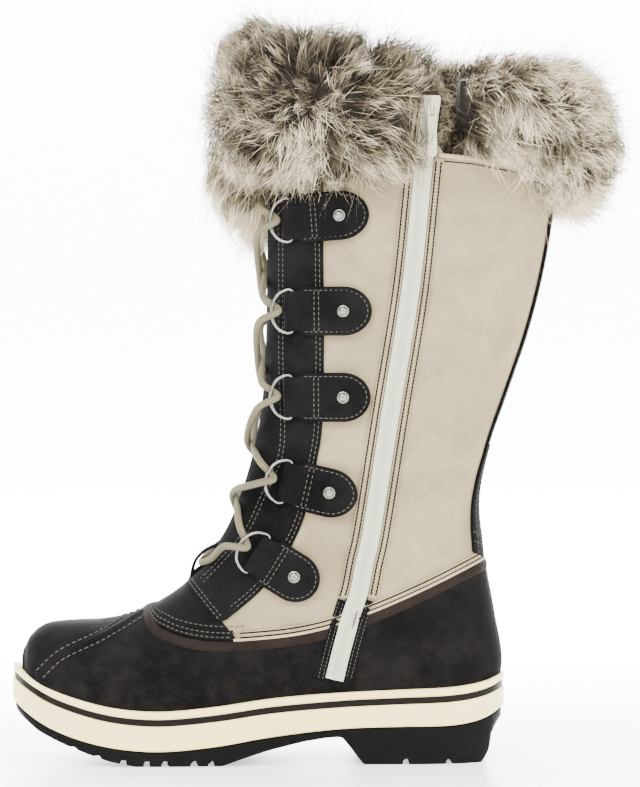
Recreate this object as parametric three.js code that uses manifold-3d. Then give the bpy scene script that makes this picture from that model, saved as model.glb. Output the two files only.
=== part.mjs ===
// Tall lace-and-zip winter boot for the right foot, in millimetres.
// +X points to the toe, +Y to the wearer's left (the inner side, with the zip), +Z up.
// The origin is on the floor, under the middle of the heel's flat bottom.

import * as THREE from 'three';
import { mergeVertices } from 'three/addons/utils/BufferGeometryUtils.js';
import { ParametricGeometry } from 'three/addons/geometries/ParametricGeometry.js';
import Module from 'manifold-3d';

const wasm = await Module();
wasm.setup();

// ---- driving sizes ----------------------------------------------------------------------

const GAP = 0.3; // between pieces that touch
const WALL = 2.4; // upper: leather and lining
const SHELL = 1.7; // foot shell's leather
const BINDING_PROUD = 2.8; // how far the rolled binding stands off the upper
const BINDING_WIDTH = 4.4;
const TRIM = 1.4; // facings, back stay, heel tab and zip tape
const TAB_FROM = TRIM + 2 * GAP; // ring tabs lie on the facings
const TAB_TO = TAB_FROM + 2.6;
const TAB_HEIGHT = 27.5;
const THROAT_HALF = 11; // half the gap between the facings
const TONGUE_HALF = 30;
const TONGUE_THICK = 3;
const ZIP_HALF = 5.2;
const STRIPE_TALL = 3.4;
const WELT_TALL = 4.6;
const OUTSOLE_INSET = 1.6; // outsole edge inside the midsole's edge
const WIRE = 2.2; // D-ring wire diameter
const RING_HALF = 12.4; // half the D-ring's height, to the wire's middle
const RING_REACH = 12.6; // bar to the far side of the D, to the wire's middle
const RING_LIFT = 0.3; // slope of the D-ring away from the surface, radians
const RING_RISE = 0.6; // bar's middle above the middle of the tab's leather
const LACE = 4;
const LACE_OFF = 4.3; // lace's middle above the last where it crosses the throat
const LACE_END = 320; // height at which the ends go into the fur
const LACE_STEPS = 44;
const RIVET_R = 3.6;
const SLIDER = { x: -3.2, z: 369, thick: 3, clear: 0.3 };
const PULL = { long: 30, wide: 5.2, bar: 1.3 };
const PARTING = [-16, 2.5]; // the fur is parted at the zip between these
const FAR = 400; // beyond every piece

// ---- tables -----------------------------------------------------------------------------

// The last: sections across foot and leg. Each runs from a front (or top) point to a back
// (or bottom) point; medial and lateral are half widths, mid shifts the section sideways,
// skew moves the widest place to the front (+) or back (-), square is the outline's power.
const LAST = [
  { frontX: 225.6, frontZ: 63, backX: 225.6, backZ: 45, medial: 7, lateral: 7, mid: 9, skew: 0, square: 2.1 },
  { frontX: 222, frontZ: 70, backX: 222, backZ: 31, medial: 18, lateral: 18, mid: 8, skew: -0.05, square: 2.2 },
  { frontX: 214, frontZ: 75.6, backX: 214, backZ: 18, medial: 29, lateral: 29, mid: 5, skew: -0.1, square: 2.3 },
  { frontX: 199, frontZ: 77.2, backX: 199, backZ: 10, medial: 38, lateral: 37, mid: 3, skew: -0.14, square: 2.4 },
  { frontX: 182, frontZ: 77.8, backX: 182, backZ: 4, medial: 43.5, lateral: 42, mid: 1, skew: -0.16, square: 2.4 },
  { frontX: 165, frontZ: 81.5, backX: 163, backZ: 0, medial: 46, lateral: 46, mid: 0, skew: -0.2, square: 2.4 },
  { frontX: 150, frontZ: 89.4, backX: 141, backZ: -1, medial: 46.5, lateral: 48.5, mid: -1, skew: -0.24, square: 2.4 },
  { frontX: 138, frontZ: 97.5, backX: 113, backZ: 1, medial: 43.5, lateral: 48, mid: -1, skew: -0.26, square: 2.4 },
  { frontX: 128, frontZ: 107.5, backX: 82, backZ: 4, medial: 38.5, lateral: 45, mid: -1, skew: -0.22, square: 2.5 },
  { frontX: 119, frontZ: 120, backX: 46, backZ: 6, medial: 36, lateral: 41, mid: -1, skew: -0.14, square: 2.6 },
  { frontX: 111.5, frontZ: 133.5, backX: 6, backZ: 7, medial: 36, lateral: 39, mid: 0, skew: -0.06, square: 2.7 },
  { frontX: 105.5, frontZ: 148, backX: -27, backZ: 17, medial: 36, lateral: 37.5, mid: 0, skew: 0, square: 2.7 },
  { frontX: 100.5, frontZ: 164, backX: -42.3, backZ: 50, medial: 36, lateral: 36.5, mid: 0, skew: 0.02, square: 2.6 },
  { frontX: 96.5, frontZ: 180, backX: -38.6, backZ: 84, medial: 36, lateral: 36, mid: 0, skew: 0.02, square: 2.5 },
  { frontX: 93.5, frontZ: 196, backX: -32.8, backZ: 116, medial: 36.5, lateral: 36.5, mid: 0, skew: 0, square: 2.5 },
  { frontX: 91.2, frontZ: 216, backX: -29.5, backZ: 147, medial: 38, lateral: 38, mid: 0, skew: 0, square: 2.4 },
  { frontX: 90, frontZ: 240, backX: -35.5, backZ: 178, medial: 40, lateral: 40.5, mid: 0, skew: -0.02, square: 2.4 },
  { frontX: 89.8, frontZ: 264, backX: -47, backZ: 211, medial: 42, lateral: 43, mid: 0, skew: -0.03, square: 2.3 },
  { frontX: 89.4, frontZ: 288, backX: -58.5, backZ: 245, medial: 43.5, lateral: 45, mid: 0, skew: -0.03, square: 2.3 },
  { frontX: 89, frontZ: 313, backX: -67.3, backZ: 280, medial: 44.5, lateral: 46, mid: 0, skew: -0.03, square: 2.3 },
  { frontX: 88.3, frontZ: 340, backX: -72.8, backZ: 314, medial: 45, lateral: 46.5, mid: 0, skew: -0.03, square: 2.3 },
  { frontX: 87.5, frontZ: 368, backX: -75, backZ: 342, medial: 45, lateral: 46.5, mid: 0, skew: -0.03, square: 2.3 },
  { frontX: 87, frontZ: 392, backX: -76, backZ: 366, medial: 45, lateral: 46.5, mid: 0, skew: -0.03, square: 2.3 },
];

// Outline of the sole seen from above, at the midsole's edge.
const SOLE_OUTLINE = [
  { x: -46, y: 0 }, { x: -41, y: 18 }, { x: -26, y: 32 }, { x: 0, y: 38.5 },
  { x: 38, y: 39.5 }, { x: 80, y: 42.5 }, { x: 120, y: 49 }, { x: 155, y: 51.5 },
  { x: 187, y: 48.5 }, { x: 212, y: 38.5 }, { x: 228, y: 24 }, { x: 234.5, y: 8 },
  { x: 231.5, y: -9 }, { x: 219, y: -25.5 }, { x: 193, y: -41.5 }, { x: 160, y: -50 },
  { x: 120, y: -53.5 }, { x: 80, y: -49.5 }, { x: 38, y: -43 }, { x: 0, y: -39.5 },
  { x: -26, y: -32 }, { x: -41, y: -18 },
];

// Heights of the sole's layers along the boot.
const SOLE_LAYERS = [
  { x: -50, plateTop: 43.5, plateFoot: 33 },
  { x: -45, plateTop: 41.5, plateFoot: 30.5 },
  { x: -35, plateTop: 38, plateFoot: 25.5 },
  { x: -20, plateTop: 35.4, plateFoot: 22.2 },
  { x: 15, plateTop: 33.8, plateFoot: 21.2 },
  { x: 48, plateTop: 32.2, plateFoot: 20 },
  { x: 88, plateTop: 28.9, plateFoot: 15.6 },
  { x: 118, plateTop: 24.9, plateFoot: 10.9 },
  { x: 150, plateTop: 22.6, plateFoot: 8.4 },
  { x: 175, plateTop: 24.6, plateFoot: 10.4 },
  { x: 197, plateTop: 29.8, plateFoot: 15.4 },
  { x: 215, plateTop: 36.3, plateFoot: 22.3 },
  { x: 228, plateTop: 43.5, plateFoot: 30 },
  { x: 238, plateTop: 50, plateFoot: 38 },
];

// Underside of the outsole from heel to toe; heel and forefoot stand on the floor.
const TREAD = [
  { x: -50, z: 30 }, { x: -44, z: 24 }, { x: -38.5, z: 19 }, { x: -36.5, z: 7 },
  { x: -32, z: 0 }, { x: 34.5, z: 0 }, { x: 47, z: 15.2 }, { x: 66, z: 13.4 },
  { x: 88, z: 8.2 }, { x: 103, z: 3.6 }, { x: 114, z: 0 }, { x: 162, z: 0 },
  { x: 176, z: 2.6 }, { x: 190, z: 7 }, { x: 205, z: 12.6 }, { x: 218, z: 18.4 },
  { x: 228, z: 25.5 }, { x: 238, z: 34 },
];

// Grooves between the lugs: across the forefoot, and two in the heel.
const GROOVES = [
  { x: 120, deep: 3 }, { x: 130, deep: 3 }, { x: 146, deep: 3 }, { x: 156, deep: 3 },
  { x: 169, deep: 3.6 }, { x: 183, deep: 6 }, { x: 197, deep: 10 },
  { x: -13, deep: 3 }, { x: 11, deep: 3 },
];
const GROOVE_WIDE = 3;

// Top line of the foot shell, seen from the side.
const SHELL_LINE = [
  { x: -60, z: 124 }, { x: -35, z: 114.5 }, { x: -26, z: 110.5 }, { x: 2, z: 97 },
  { x: 31, z: 84.5 }, { x: 54, z: 76.5 }, { x: 71, z: 72.6 }, { x: 90, z: 70 },
  { x: 111, z: 68.6 }, { x: 128, z: 69.5 }, { x: 145, z: 74 }, { x: 154, z: 80 },
  { x: 159, z: 92 },
];

// Top line of the upper: low behind the zip, higher in front of it.
const TOP_LINE = [
  { x: -90, z: 318 }, { x: -75, z: 325 }, { x: -55, z: 336 }, { x: -26, z: 341 },
  { x: -7, z: 342.6 }, { x: -1, z: 376 }, { x: 100, z: 378 },
];

// Facings beside the throat: rear edge, lower end and the front beyond the shaft.
const FACING = [
  { x: 58, z: 372 }, { x: 58, z: 190 }, { x: 61, z: 170 }, { x: 68, z: 139 },
  { x: 76, z: 121 }, { x: 91, z: 99 }, { x: 112, z: 80.5 }, { x: 117.5, z: 79.5 },
  { x: 134, z: 99 }, { x: 150, z: 120 }, { x: 150, z: 372 },
];

// Middle line of the zip from the foot shell to the top.
const ZIP_LINE = [
  { x: 51.5, z: 46.5 }, { x: 46.2, z: 68 }, { x: 41.3, z: 85 }, { x: 37.4, z: 97 },
  { x: 34.2, z: 113 }, { x: 31.2, z: 126 }, { x: 20, z: 196 }, { x: 8.6, z: 267 },
  { x: 3.2, z: 318 }, { x: 1, z: 340 }, { x: -3.4, z: 376 },
];

// Ring tabs, top to bottom: the ring's bar, the tab's round end, and the slope of the tab.
const TABS = [
  { barX: 75, barZ: 306, rivetX: 47.5, rivetZ: 308, reach: 16 },
  { barX: 74, barZ: 254.5, rivetX: 45.5, rivetZ: 254.5, reach: 15.5 },
  { barX: 74.5, barZ: 206.3, rivetX: 45.8, rivetZ: 206.3, reach: 15 },
  { barX: 77, barZ: 158, rivetX: 53.6, rivetZ: 152.5, reach: 15.5 },
  { barX: 93, barZ: 117, rivetX: 73.5, rivetZ: 105, reach: 14.5 },
];

// Fur collar: turn is degrees round the collar from the front, over the inner side; out, up
// place the middle of the roll from the wall at height base; deep and tall are half sizes.
const FUR = [
  { turn: 95, base: 368, out: 1, deep: 10, tall: 16 },
  { turn: 108, base: 370, out: 3, deep: 19, tall: 25 },
  { turn: 125, base: 368, out: 6, deep: 24, tall: 29 },
  { turn: 150, base: 359, out: 10, deep: 27, tall: 36 },
  { turn: 180, base: 352, out: 13, deep: 27, tall: 42 },
  { turn: 215, base: 358, out: 9, deep: 26, tall: 41 },
  { turn: 260, base: 363, out: 6, deep: 24, tall: 43 },
  { turn: 305, base: 370, out: 7, deep: 26, tall: 46 },
  { turn: 340, base: 371, out: 9, deep: 28, tall: 47.5 },
  { turn: 360, base: 371.5, out: 10, deep: 28, tall: 48 },
  { turn: 390, base: 370.5, out: 8, deep: 27, tall: 47 },
  { turn: 420, base: 368, out: 6, deep: 25, tall: 45 },
  { turn: 442, base: 366, out: 4, deep: 22, tall: 40 },
  { turn: 456, base: 366, out: 3, deep: 18, tall: 34 },
];

// ---- colours ----------------------------------------------------------------------------

const finish = (color, roughness, metalness = 0) =>
  new THREE.MeshStandardMaterial({ color, roughness, metalness });
const COLOURS = {
  outsole: finish('#262625', 0.7),
  midsole: finish('#f3efdd', 0.6),
  stripe: finish('#1d1a18', 0.6),
  shaft: finish('#cdc6b4', 0.85),
  charcoal: finish('#34302e', 0.75),
  tongue: finish('#383331', 0.8),
  binding: finish('#5a4a44', 0.75),
  stay: finish('#1c1a18', 0.7),
  insole: finish('#8f8878', 0.95),
  zip: finish('#eceee8', 0.6),
  lace: finish('#b5b09a', 0.9),
  fur: finish('#9a9082', 1),
  nickel: finish('#b9b6af', 0.3, 1),
};

// ---- helpers ----------------------------------------------------------------------------

// A smooth curve through one column of a table, held level beyond its ends.
function column(rows, key, value) {
  const line = new THREE.CubicInterpolant(rows.map((row) => row[key]), rows.map((row) => row[value]), 1);
  return (at) => line.evaluate(at)[0];
}

// A closed three.js geometry as a solid that can be cut and joined.
function solid(geometry) {
  const bare = geometry.clone();
  bare.deleteAttribute('normal');
  bare.deleteAttribute('uv');
  const merged = mergeVertices(bare, 1e-4);
  const corners = merged.index.array;
  const kept = [];
  for (let i = 0; i < corners.length; i += 3) {
    const [a, b, c] = [corners[i], corners[i + 1], corners[i + 2]];
    if (a !== b && b !== c && c !== a) kept.push(a, b, c);
  }
  return new wasm.Manifold(new wasm.Mesh({
    numProp: 3,
    vertProperties: new Float32Array(merged.attributes.position.array),
    triVerts: new Uint32Array(kept),
  }));
}

const boot = new THREE.Group();

// Adds a solid or a geometry to the boot as one named piece.
function piece(name, body, material) {
  let geometry = body;
  if (!body.isBufferGeometry) {
    const { vertProperties, triVerts } = body.getMesh();
    geometry = new THREE.BufferGeometry();
    geometry.setAttribute('position', new THREE.BufferAttribute(vertProperties, 3));
    geometry.setIndex(new THREE.BufferAttribute(triVerts, 1));
    geometry.computeVertexNormals();
  }
  const mesh = new THREE.Mesh(geometry, material);
  mesh.name = name;
  boot.add(mesh);
}

// A side view (x, z) carried sideways from y0 to y1.
function sideSlab(points, y0 = -FAR, y1 = FAR) {
  const shape = new THREE.Shape(points.map(({ x, z }) => new THREE.Vector2(x, z)));
  const geometry = new THREE.ExtrudeGeometry(shape, { depth: y1 - y0, bevelEnabled: false, steps: 1 });
  geometry.rotateX(Math.PI / 2);
  geometry.translate(0, y1, 0);
  return solid(geometry);
}

// A back view (y, z) carried from x0 to x1.
function backSlab(points, x0, x1) {
  const shape = new THREE.Shape(points.map(({ y, z }) => new THREE.Vector2(y, z)));
  const geometry = new THREE.ExtrudeGeometry(shape, { depth: x1 - x0, bevelEnabled: false, steps: 1 });
  geometry.rotateX(Math.PI / 2);
  geometry.rotateZ(Math.PI / 2);
  geometry.translate(x0, 0, 0);
  return solid(geometry);
}

// A plan view (x, y) carried up from z0 to z1.
function planSlab(points, z0, z1) {
  const geometry = new THREE.ExtrudeGeometry(new THREE.Shape(points), {
    depth: z1 - z0, bevelEnabled: false, steps: 1,
  });
  geometry.translate(0, 0, z0);
  return solid(geometry);
}

// Everything below, or above, a side-view line, which runs on level beyond its ends.
const levelled = (line, lift) => [
  { x: -FAR, z: line[0].z + lift },
  ...line.map(({ x, z }) => ({ x, z: z + lift })),
  { x: FAR, z: line.at(-1).z + lift },
];
const under = (line, drop = 0) => sideSlab([...levelled(line, -drop), { x: FAR, z: -FAR }, { x: -FAR, z: -FAR }]);
const above = (line, lift = 0) => sideSlab([
  ...levelled(line, lift), { x: FAR, z: 2 * FAR }, { x: -FAR, z: 2 * FAR },
]);

// A round bar along a list of points.
function bar(points, diameter, steps, sides = 8) {
  const ring = Array.from({ length: sides }, (_, i) => {
    const turn = (2 * Math.PI * i) / sides;
    return new THREE.Vector2(Math.cos(turn), Math.sin(turn)).multiplyScalar(diameter / 2);
  });
  const path = new THREE.CatmullRomCurve3(points, false, 'centripetal');
  return new THREE.ExtrudeGeometry(new THREE.Shape(ring), { steps, extrudePath: path, bevelEnabled: false });
}

// ---- the last ---------------------------------------------------------------------------

const RINGS = 22; // sections of a form
const AROUND = 22; // points round a section
const LAST_END = LAST.length - 1;
const numbered = LAST.map((row, at) => ({ ...row, at }));
const last = Object.fromEntries(Object.keys(LAST[0]).map((key) => [key, column(numbered, 'at', key)]));
const power = (value, to) => Math.sign(value) * Math.abs(value) ** to;

// A point of the last's surface: at counts sections from the toe, turn goes round from the
// front over the inner side. It is a superellipse in the section's slanted plane.
function lastPoint(at, turn) {
  const along = power(Math.cos(turn), 2 / last.square(at));
  const across = power(Math.sin(turn), 2 / last.square(at));
  const place = along + last.skew(at) * (1 - along * along);
  const half = across > 0 ? last.medial(at) : last.lateral(at);
  return new THREE.Vector3(
    THREE.MathUtils.lerp(last.backX(at), last.frontX(at), (1 + place) / 2),
    last.mid(at) + across * half,
    THREE.MathUtils.lerp(last.backZ(at), last.frontZ(at), (1 + place) / 2),
  );
}

// The direction straight out of the last's surface.
function lastNormal(at, turn) {
  const step = 0.02;
  const low = Math.max(at - step, 0);
  const high = Math.min(at + step, LAST_END);
  const lengthways = lastPoint(high, turn).sub(lastPoint(low, turn));
  const round = lastPoint(at, turn + step).sub(lastPoint(at, turn - step));
  return round.cross(lengthways).normalize();
}

// The whole last grown by out millimetres (or shrunk), closed at toe and top.
function form(out) {
  const place = (u, v, target) => {
    const turn = 2 * Math.PI * u;
    const ring = v * (RINGS + 2) - 1;
    const at = THREE.MathUtils.clamp(ring / RINGS, 0, 1) * LAST_END;
    if (ring > -0.5 && ring < RINGS + 0.5) {
      target.copy(lastPoint(at, turn)).addScaledVector(lastNormal(at, turn), out);
      return;
    }
    target.set((last.frontX(at) + last.backX(at)) / 2, last.mid(at), (last.frontZ(at) + last.backZ(at)) / 2);
    if (ring < 0) target.x += 1.5 + out;
  };
  return solid(new ParametricGeometry(place, AROUND, RINGS + 2));
}

// The layer between two growths of the last.
const layer = (from, to) => form(to).subtract(form(from));

// Where the surface of a form is met on the way in from far out: its point and the way out.
const skins = new Map();
function meet(from, way, out) {
  if (!skins.has(out)) {
    const { vertProperties, triVerts } = form(out).getMesh();
    const geometry = new THREE.BufferGeometry();
    geometry.setAttribute('position', new THREE.BufferAttribute(vertProperties, 3));
    geometry.setIndex(new THREE.BufferAttribute(triVerts, 1));
    skins.set(out, new THREE.Mesh(geometry, new THREE.MeshBasicMaterial()));
  }
  const [hit] = new THREE.Raycaster(from, way).intersectObject(skins.get(out));
  return { point: hit.point, normal: hit.face.normal.clone() };
}
const seat = (x, z, side, out) => meet(new THREE.Vector3(x, side * FAR, z), new THREE.Vector3(0, -side, 0), out);

// ---- sole -------------------------------------------------------------------------------

const SOLE_FROM = -50;
const SOLE_TO = 238;
const SOLE_STEPS = 16;
const plateTop = column(SOLE_LAYERS, 'x', 'plateTop');
const plateFoot = column(SOLE_LAYERS, 'x', 'plateFoot');
const alongSole = Array.from({ length: SOLE_STEPS + 1 }, (_, i) =>
  SOLE_FROM + ((SOLE_TO - SOLE_FROM) * i) / SOLE_STEPS);
const topOfPlate = alongSole.map((x) => ({ x, z: plateTop(x) }));
const footOfPlate = alongSole.map((x) => ({ x, z: plateFoot(x) }));

// The sole's outline, moved inwards.
function outline(inset, count = 40) {
  const rim = new THREE.CatmullRomCurve3(
    SOLE_OUTLINE.map(({ x, y }) => new THREE.Vector3(x, y, 0)), true, 'centripetal');
  return Array.from({ length: count }, (_, i) => {
    const way = rim.getTangentAt(i / count);
    const point = rim.getPointAt(i / count);
    return new THREE.Vector2(point.x - way.y * -inset, point.y - way.x * inset);
  });
}

function outsole() {
  let block = planSlab(outline(OUTSOLE_INSET), -1, 60).intersect(under(footOfPlate, GAP)).intersect(above(TREAD));
  for (const { x, deep } of GROOVES) {
    const half = GROOVE_WIDE / 2;
    block = block.subtract(sideSlab([
      { x: x - half, z: -5 }, { x: x + half, z: -5 }, { x: x + half, z: deep }, { x: x - half, z: deep },
    ]));
  }
  return block;
}

// A level band of the sole's edge, outside the shell.
function edgeBand(inset, from, to) {
  return planSlab(outline(inset), 0, 90)
    .intersect(above(topOfPlate, from))
    .intersect(under(topOfPlate, -to))
    .subtract(form(GAP + SHELL + GAP));
}

piece('outsole', outsole(), COLOURS.outsole);
piece('midsole', planSlab(outline(0), 0, 90).intersect(under(topOfPlate)).intersect(above(footOfPlate)),
  COLOURS.midsole);
piece('foxing_stripe', edgeBand(0.6, GAP, STRIPE_TALL), COLOURS.stripe);
piece('welt', edgeBand(0.2, STRIPE_TALL + GAP, STRIPE_TALL + WELT_TALL), COLOURS.midsole);

// ---- upper, tongue and insole -----------------------------------------------------------

const overSole = above(topOfPlate, GAP);
const throat = sideSlab([
  { x: 136, z: 60 }, { x: 200, z: 60 }, { x: 200, z: FAR }, { x: 40, z: FAR }, { x: 40, z: 190 },
  { x: 60, z: 140 }, { x: 90, z: 100 },
], -THROAT_HALF, THROAT_HALF).intersect(above([{ x: 0, z: 92 }, { x: 250, z: 92 }]));

piece('upper', layer(-WALL, 0).intersect(overSole).intersect(under(TOP_LINE)).subtract(throat),
  COLOURS.shaft);
piece('insole', form(-WALL - GAP).intersect(overSole).intersect(under(topOfPlate, -GAP - 4)), COLOURS.insole);

const tongueSide = sideSlab([
  { x: 145, z: 80 }, { x: 160, z: 80 }, { x: 160, z: 366 }, { x: 30, z: 366 }, { x: 30, z: 200 },
  { x: 52, z: 150 }, { x: 90, z: 104 }, { x: 112, z: 90 },
], -TONGUE_HALF, TONGUE_HALF);
piece('tongue', layer(-WALL - GAP - TONGUE_THICK, -WALL - GAP).intersect(tongueSide), COLOURS.tongue);

// ---- shell, binding, facings, zip, stay and heel tab ------------------------------------

// A strip of even width along a side-view line, on one side only.
function strip(line, half, side) {
  const edge = (push) => line.map(({ x, z }, i) => {
    const next = line[Math.min(i + 1, line.length - 1)];
    const before = line[Math.max(i - 1, 0)];
    const way = new THREE.Vector2(next.x - before.x, next.z - before.z).normalize();
    return { x: x - way.y * push, z: z + way.x * push };
  });
  const points = [...edge(half), ...edge(-half).reverse()];
  return side > 0 ? sideSlab(points, 0, FAR) : sideSlab(points, -FAR, 0);
}

const zipSlot = strip(ZIP_LINE, ZIP_HALF + GAP, 1);
const overWelt = above(topOfPlate, GAP);
piece('shell', layer(GAP, GAP + SHELL).intersect(under(SHELL_LINE, BINDING_WIDTH + GAP)).intersect(overWelt)
  .subtract(zipSlot), COLOURS.charcoal);
piece('binding', layer(GAP, BINDING_PROUD).intersect(under(SHELL_LINE))
  .intersect(above(SHELL_LINE, -BINDING_WIDTH)).subtract(zipSlot), COLOURS.binding);

for (const [name, side] of [['facing_medial', 1], ['facing_lateral', -1]]) {
  const from = side > 0 ? THROAT_HALF : -FAR;
  const to = side > 0 ? FAR : -THROAT_HALF;
  piece(name, layer(GAP, TRIM).intersect(sideSlab(FACING, from, to)), COLOURS.charcoal);
}

piece('zip', layer(GAP, TRIM).intersect(strip(ZIP_LINE, ZIP_HALF, 1)).intersect(above(topOfPlate, 12)),
  COLOURS.zip);

const STAY_HALF = 10;
piece('back_stay', layer(GAP, TRIM)
  .intersect(backSlab([
    { y: -STAY_HALF, z: 180 }, { y: STAY_HALF, z: 180 }, { y: STAY_HALF, z: FAR }, { y: -STAY_HALF, z: FAR },
  ], -FAR, 10))
  .intersect(under(TOP_LINE, 2)), COLOURS.stay);
piece('heel_tab', layer(GAP, BINDING_PROUD)
  .intersect(backSlab([
    { y: -22, z: 100 }, { y: 22, z: 100 }, { y: 20, z: 128 }, { y: 14, z: 152 }, { y: 10, z: 180 - GAP },
    { y: -10, z: 180 - GAP }, { y: -14, z: 152 }, { y: -20, z: 128 },
  ], -FAR, 0))
  .intersect(above(SHELL_LINE, GAP)), COLOURS.charcoal);

// ---- ring tabs, D-rings and rivets ------------------------------------------------------

const tabLayer = layer(TAB_FROM, TAB_TO);
const overFacing = form(TAB_FROM);
const rings = []; // where each ring sits, for the lace

// One side's tab with its ring and rivet.
function ringTab(sideName, side, tab, number) {
  const slope = Math.atan2(tab.barZ - tab.rivetZ, tab.barX - tab.rivetX);
  const span = Math.hypot(tab.barX - tab.rivetX, tab.barZ - tab.rivetZ);
  const flat = (along, up) => ({
    x: tab.rivetX + along * Math.cos(slope) - up * Math.sin(slope),
    z: tab.rivetZ + along * Math.sin(slope) + up * Math.cos(slope),
  });

  // The D-ring: a bar in the tab's fold and a bow towards the throat.
  const bed = seat(tab.barX, tab.barZ, side, (TAB_FROM + TAB_TO) / 2);
  const forward = new THREE.Vector3(0, 0, 1).cross(bed.normal).multiplyScalar(-side).normalize();
  const upward = new THREE.Vector3(0, 0, 1).addScaledVector(bed.normal, -bed.normal.z).normalize()
    .multiplyScalar(Math.cos(slope)).addScaledVector(forward, -Math.sin(slope));
  const ahead = forward.clone().multiplyScalar(Math.cos(slope))
    .add(new THREE.Vector3(0, 0, Math.sin(slope))).normalize().multiplyScalar(Math.cos(RING_LIFT))
    .addScaledVector(bed.normal, Math.sin(RING_LIFT));
  const spot = (along, up) => bed.point.clone().addScaledVector(bed.normal, RING_RISE)
    .addScaledVector(ahead, along).addScaledVector(upward, up);
  const bow = Array.from({ length: 7 }, (_, k) => {
    const turn = Math.PI / 2 - (Math.PI * k) / 6;
    return spot(RING_REACH * Math.max(Math.cos(turn), 0) ** 0.8, RING_HALF * Math.sin(turn));
  });
  const wire = [spot(0, 0.4), spot(0, RING_HALF * 0.6), ...bow, spot(0, -RING_HALF * 0.6), spot(0, -0.4)];
  piece(`d_ring_${sideName}_${number}`, bar(wire, WIRE, 11, 6), COLOURS.nickel);

  // The tab: a leather patch whose front edge rolls round the ring's bar.
  const half = TAB_HEIGHT / 2;
  const rollHalf = RING_HALF - WIRE / 2 - 1.6;
  const roundEnd = Array.from({ length: 5 }, (_, k) => {
    const turn = Math.PI / 2 + (Math.PI * k) / 4;
    return flat(tab.reach * Math.cos(turn), half * Math.sin(turn));
  });
  const neck = span - WIRE * 1.4;
  const patch = tabLayer.intersect(sideSlab([
    ...roundEnd, flat(neck, -half * 0.92), flat(neck, -rollHalf), flat(span, -rollHalf),
    flat(span, rollHalf), flat(neck, rollHalf), flat(neck, half * 0.92),
  ], side > 0 ? 0 : -FAR, side > 0 ? FAR : 0));
  const roll = solid(bar([spot(0, -rollHalf), spot(0, rollHalf)], WIRE + 3.4, 1, 6));
  const bore = solid(bar([spot(0, -RING_HALF - 2), spot(0, RING_HALF + 2)], WIRE + 3 * GAP, 1, 5));
  piece(`ring_tab_${sideName}_${number}`, patch.add(roll.subtract(overFacing)).subtract(bore), COLOURS.charcoal);

  // The domed rivet.
  const head = seat(tab.rivetX, tab.rivetZ, side, TAB_TO + GAP);
  const dome = new THREE.LatheGeometry([
    new THREE.Vector2(0, 0), new THREE.Vector2(RIVET_R, 0), new THREE.Vector2(RIVET_R, 0.5),
    new THREE.Vector2(RIVET_R * 0.6, 1.4), new THREE.Vector2(0, 1.6),
  ], 6);
  dome.applyQuaternion(new THREE.Quaternion().setFromUnitVectors(new THREE.Vector3(0, 1, 0), head.normal));
  dome.translate(...head.point.toArray());
  piece(`rivet_${sideName}_${number}`, dome, COLOURS.nickel);

  rings.push({ side, number, spot, normal: bed.normal, z: tab.barZ });
}
TABS.forEach((tab, i) => ringTab('medial', 1, tab, i + 1));
TABS.forEach((tab, i) => ringTab('lateral', -1, tab, i + 1));

// ---- lace -------------------------------------------------------------------------------

// One of the lace's two runs. It rises from the bar across the vamp, turns over the bow of
// each ring and crosses the throat to the next ring on the other side.
function laceRun(startSide) {
  const points = [new THREE.Vector3(131.5, 0, 110), new THREE.Vector3(126, startSide * 11, 117)];
  let side = startSide;
  for (let number = TABS.length; number >= 1; number -= 1) {
    const ring = rings.find((one) => one.side === side && one.number === number);
    const at = (along, off, up) => ring.spot(along, up).addScaledVector(ring.normal, off);
    points.push(at(RING_REACH + 3, 4.3, -4), at(RING_REACH - 5, 3.9, 0), at(RING_REACH + 3, 4.3, 4));
    const nextZ = number > 1 ? (TABS[number - 1].barZ + TABS[number - 2].barZ) / 2 : LACE_END;
    const front = meet(new THREE.Vector3(FAR, 0, nextZ), new THREE.Vector3(-1, 0, 0), LACE_OFF);
    front.point.y = number > 1 ? 0 : side * LACE;
    points.push(front.point);
    side = -side;
  }
  return solid(bar(points, LACE, LACE_STEPS, 6));
}
piece('lace', laceRun(1).add(laceRun(-1)), COLOURS.lace);

// ---- zip slider and pull ----------------------------------------------------------------

// A plate in the side view (x, z) around a middle, with its back at y and the given thickness.
function plate(middle, points, back, thick) {
  const placed = points.map(([x, z]) => ({ x: middle.x + x, z: middle.z + z }));
  return sideSlab(placed, back, back + thick);
}
const sliderSeat = seat(SLIDER.x, SLIDER.z, 1, TRIM + GAP).point;
const sliderBack = sliderSeat.y + SLIDER.clear;
const sliderFront = sliderBack + SLIDER.thick;
const hub = new THREE.Vector3(SLIDER.x, sliderFront + GAP + PULL.bar / 2, SLIDER.z + 1);

// The slider: a body that tapers down, with an arch over the pull's bar.
function slider() {
  const body = plate(SLIDER, [[-4.2, 5.5], [4.2, 5.5], [4.6, 1], [3.4, -5.5], [-3.4, -5.5], [-4.6, 1]],
    sliderBack, SLIDER.thick);
  const inside = PULL.bar + 3 * GAP;
  const foot = SLIDER.thick / 2;
  const arch = plate(hub, [[-0.9, inside + 1.6], [0.9, inside + 1.6], [0.9, -inside - 1.6], [-0.9, -inside - 1.6]],
    sliderFront - foot, foot + inside + 1.2);
  const tunnel = plate(hub, [[-1, inside], [1, inside], [1, -inside], [-1, -inside]], sliderFront, inside);
  return body.add(arch.subtract(tunnel));
}
piece('zip_slider', slider(), COLOURS.zip);

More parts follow.
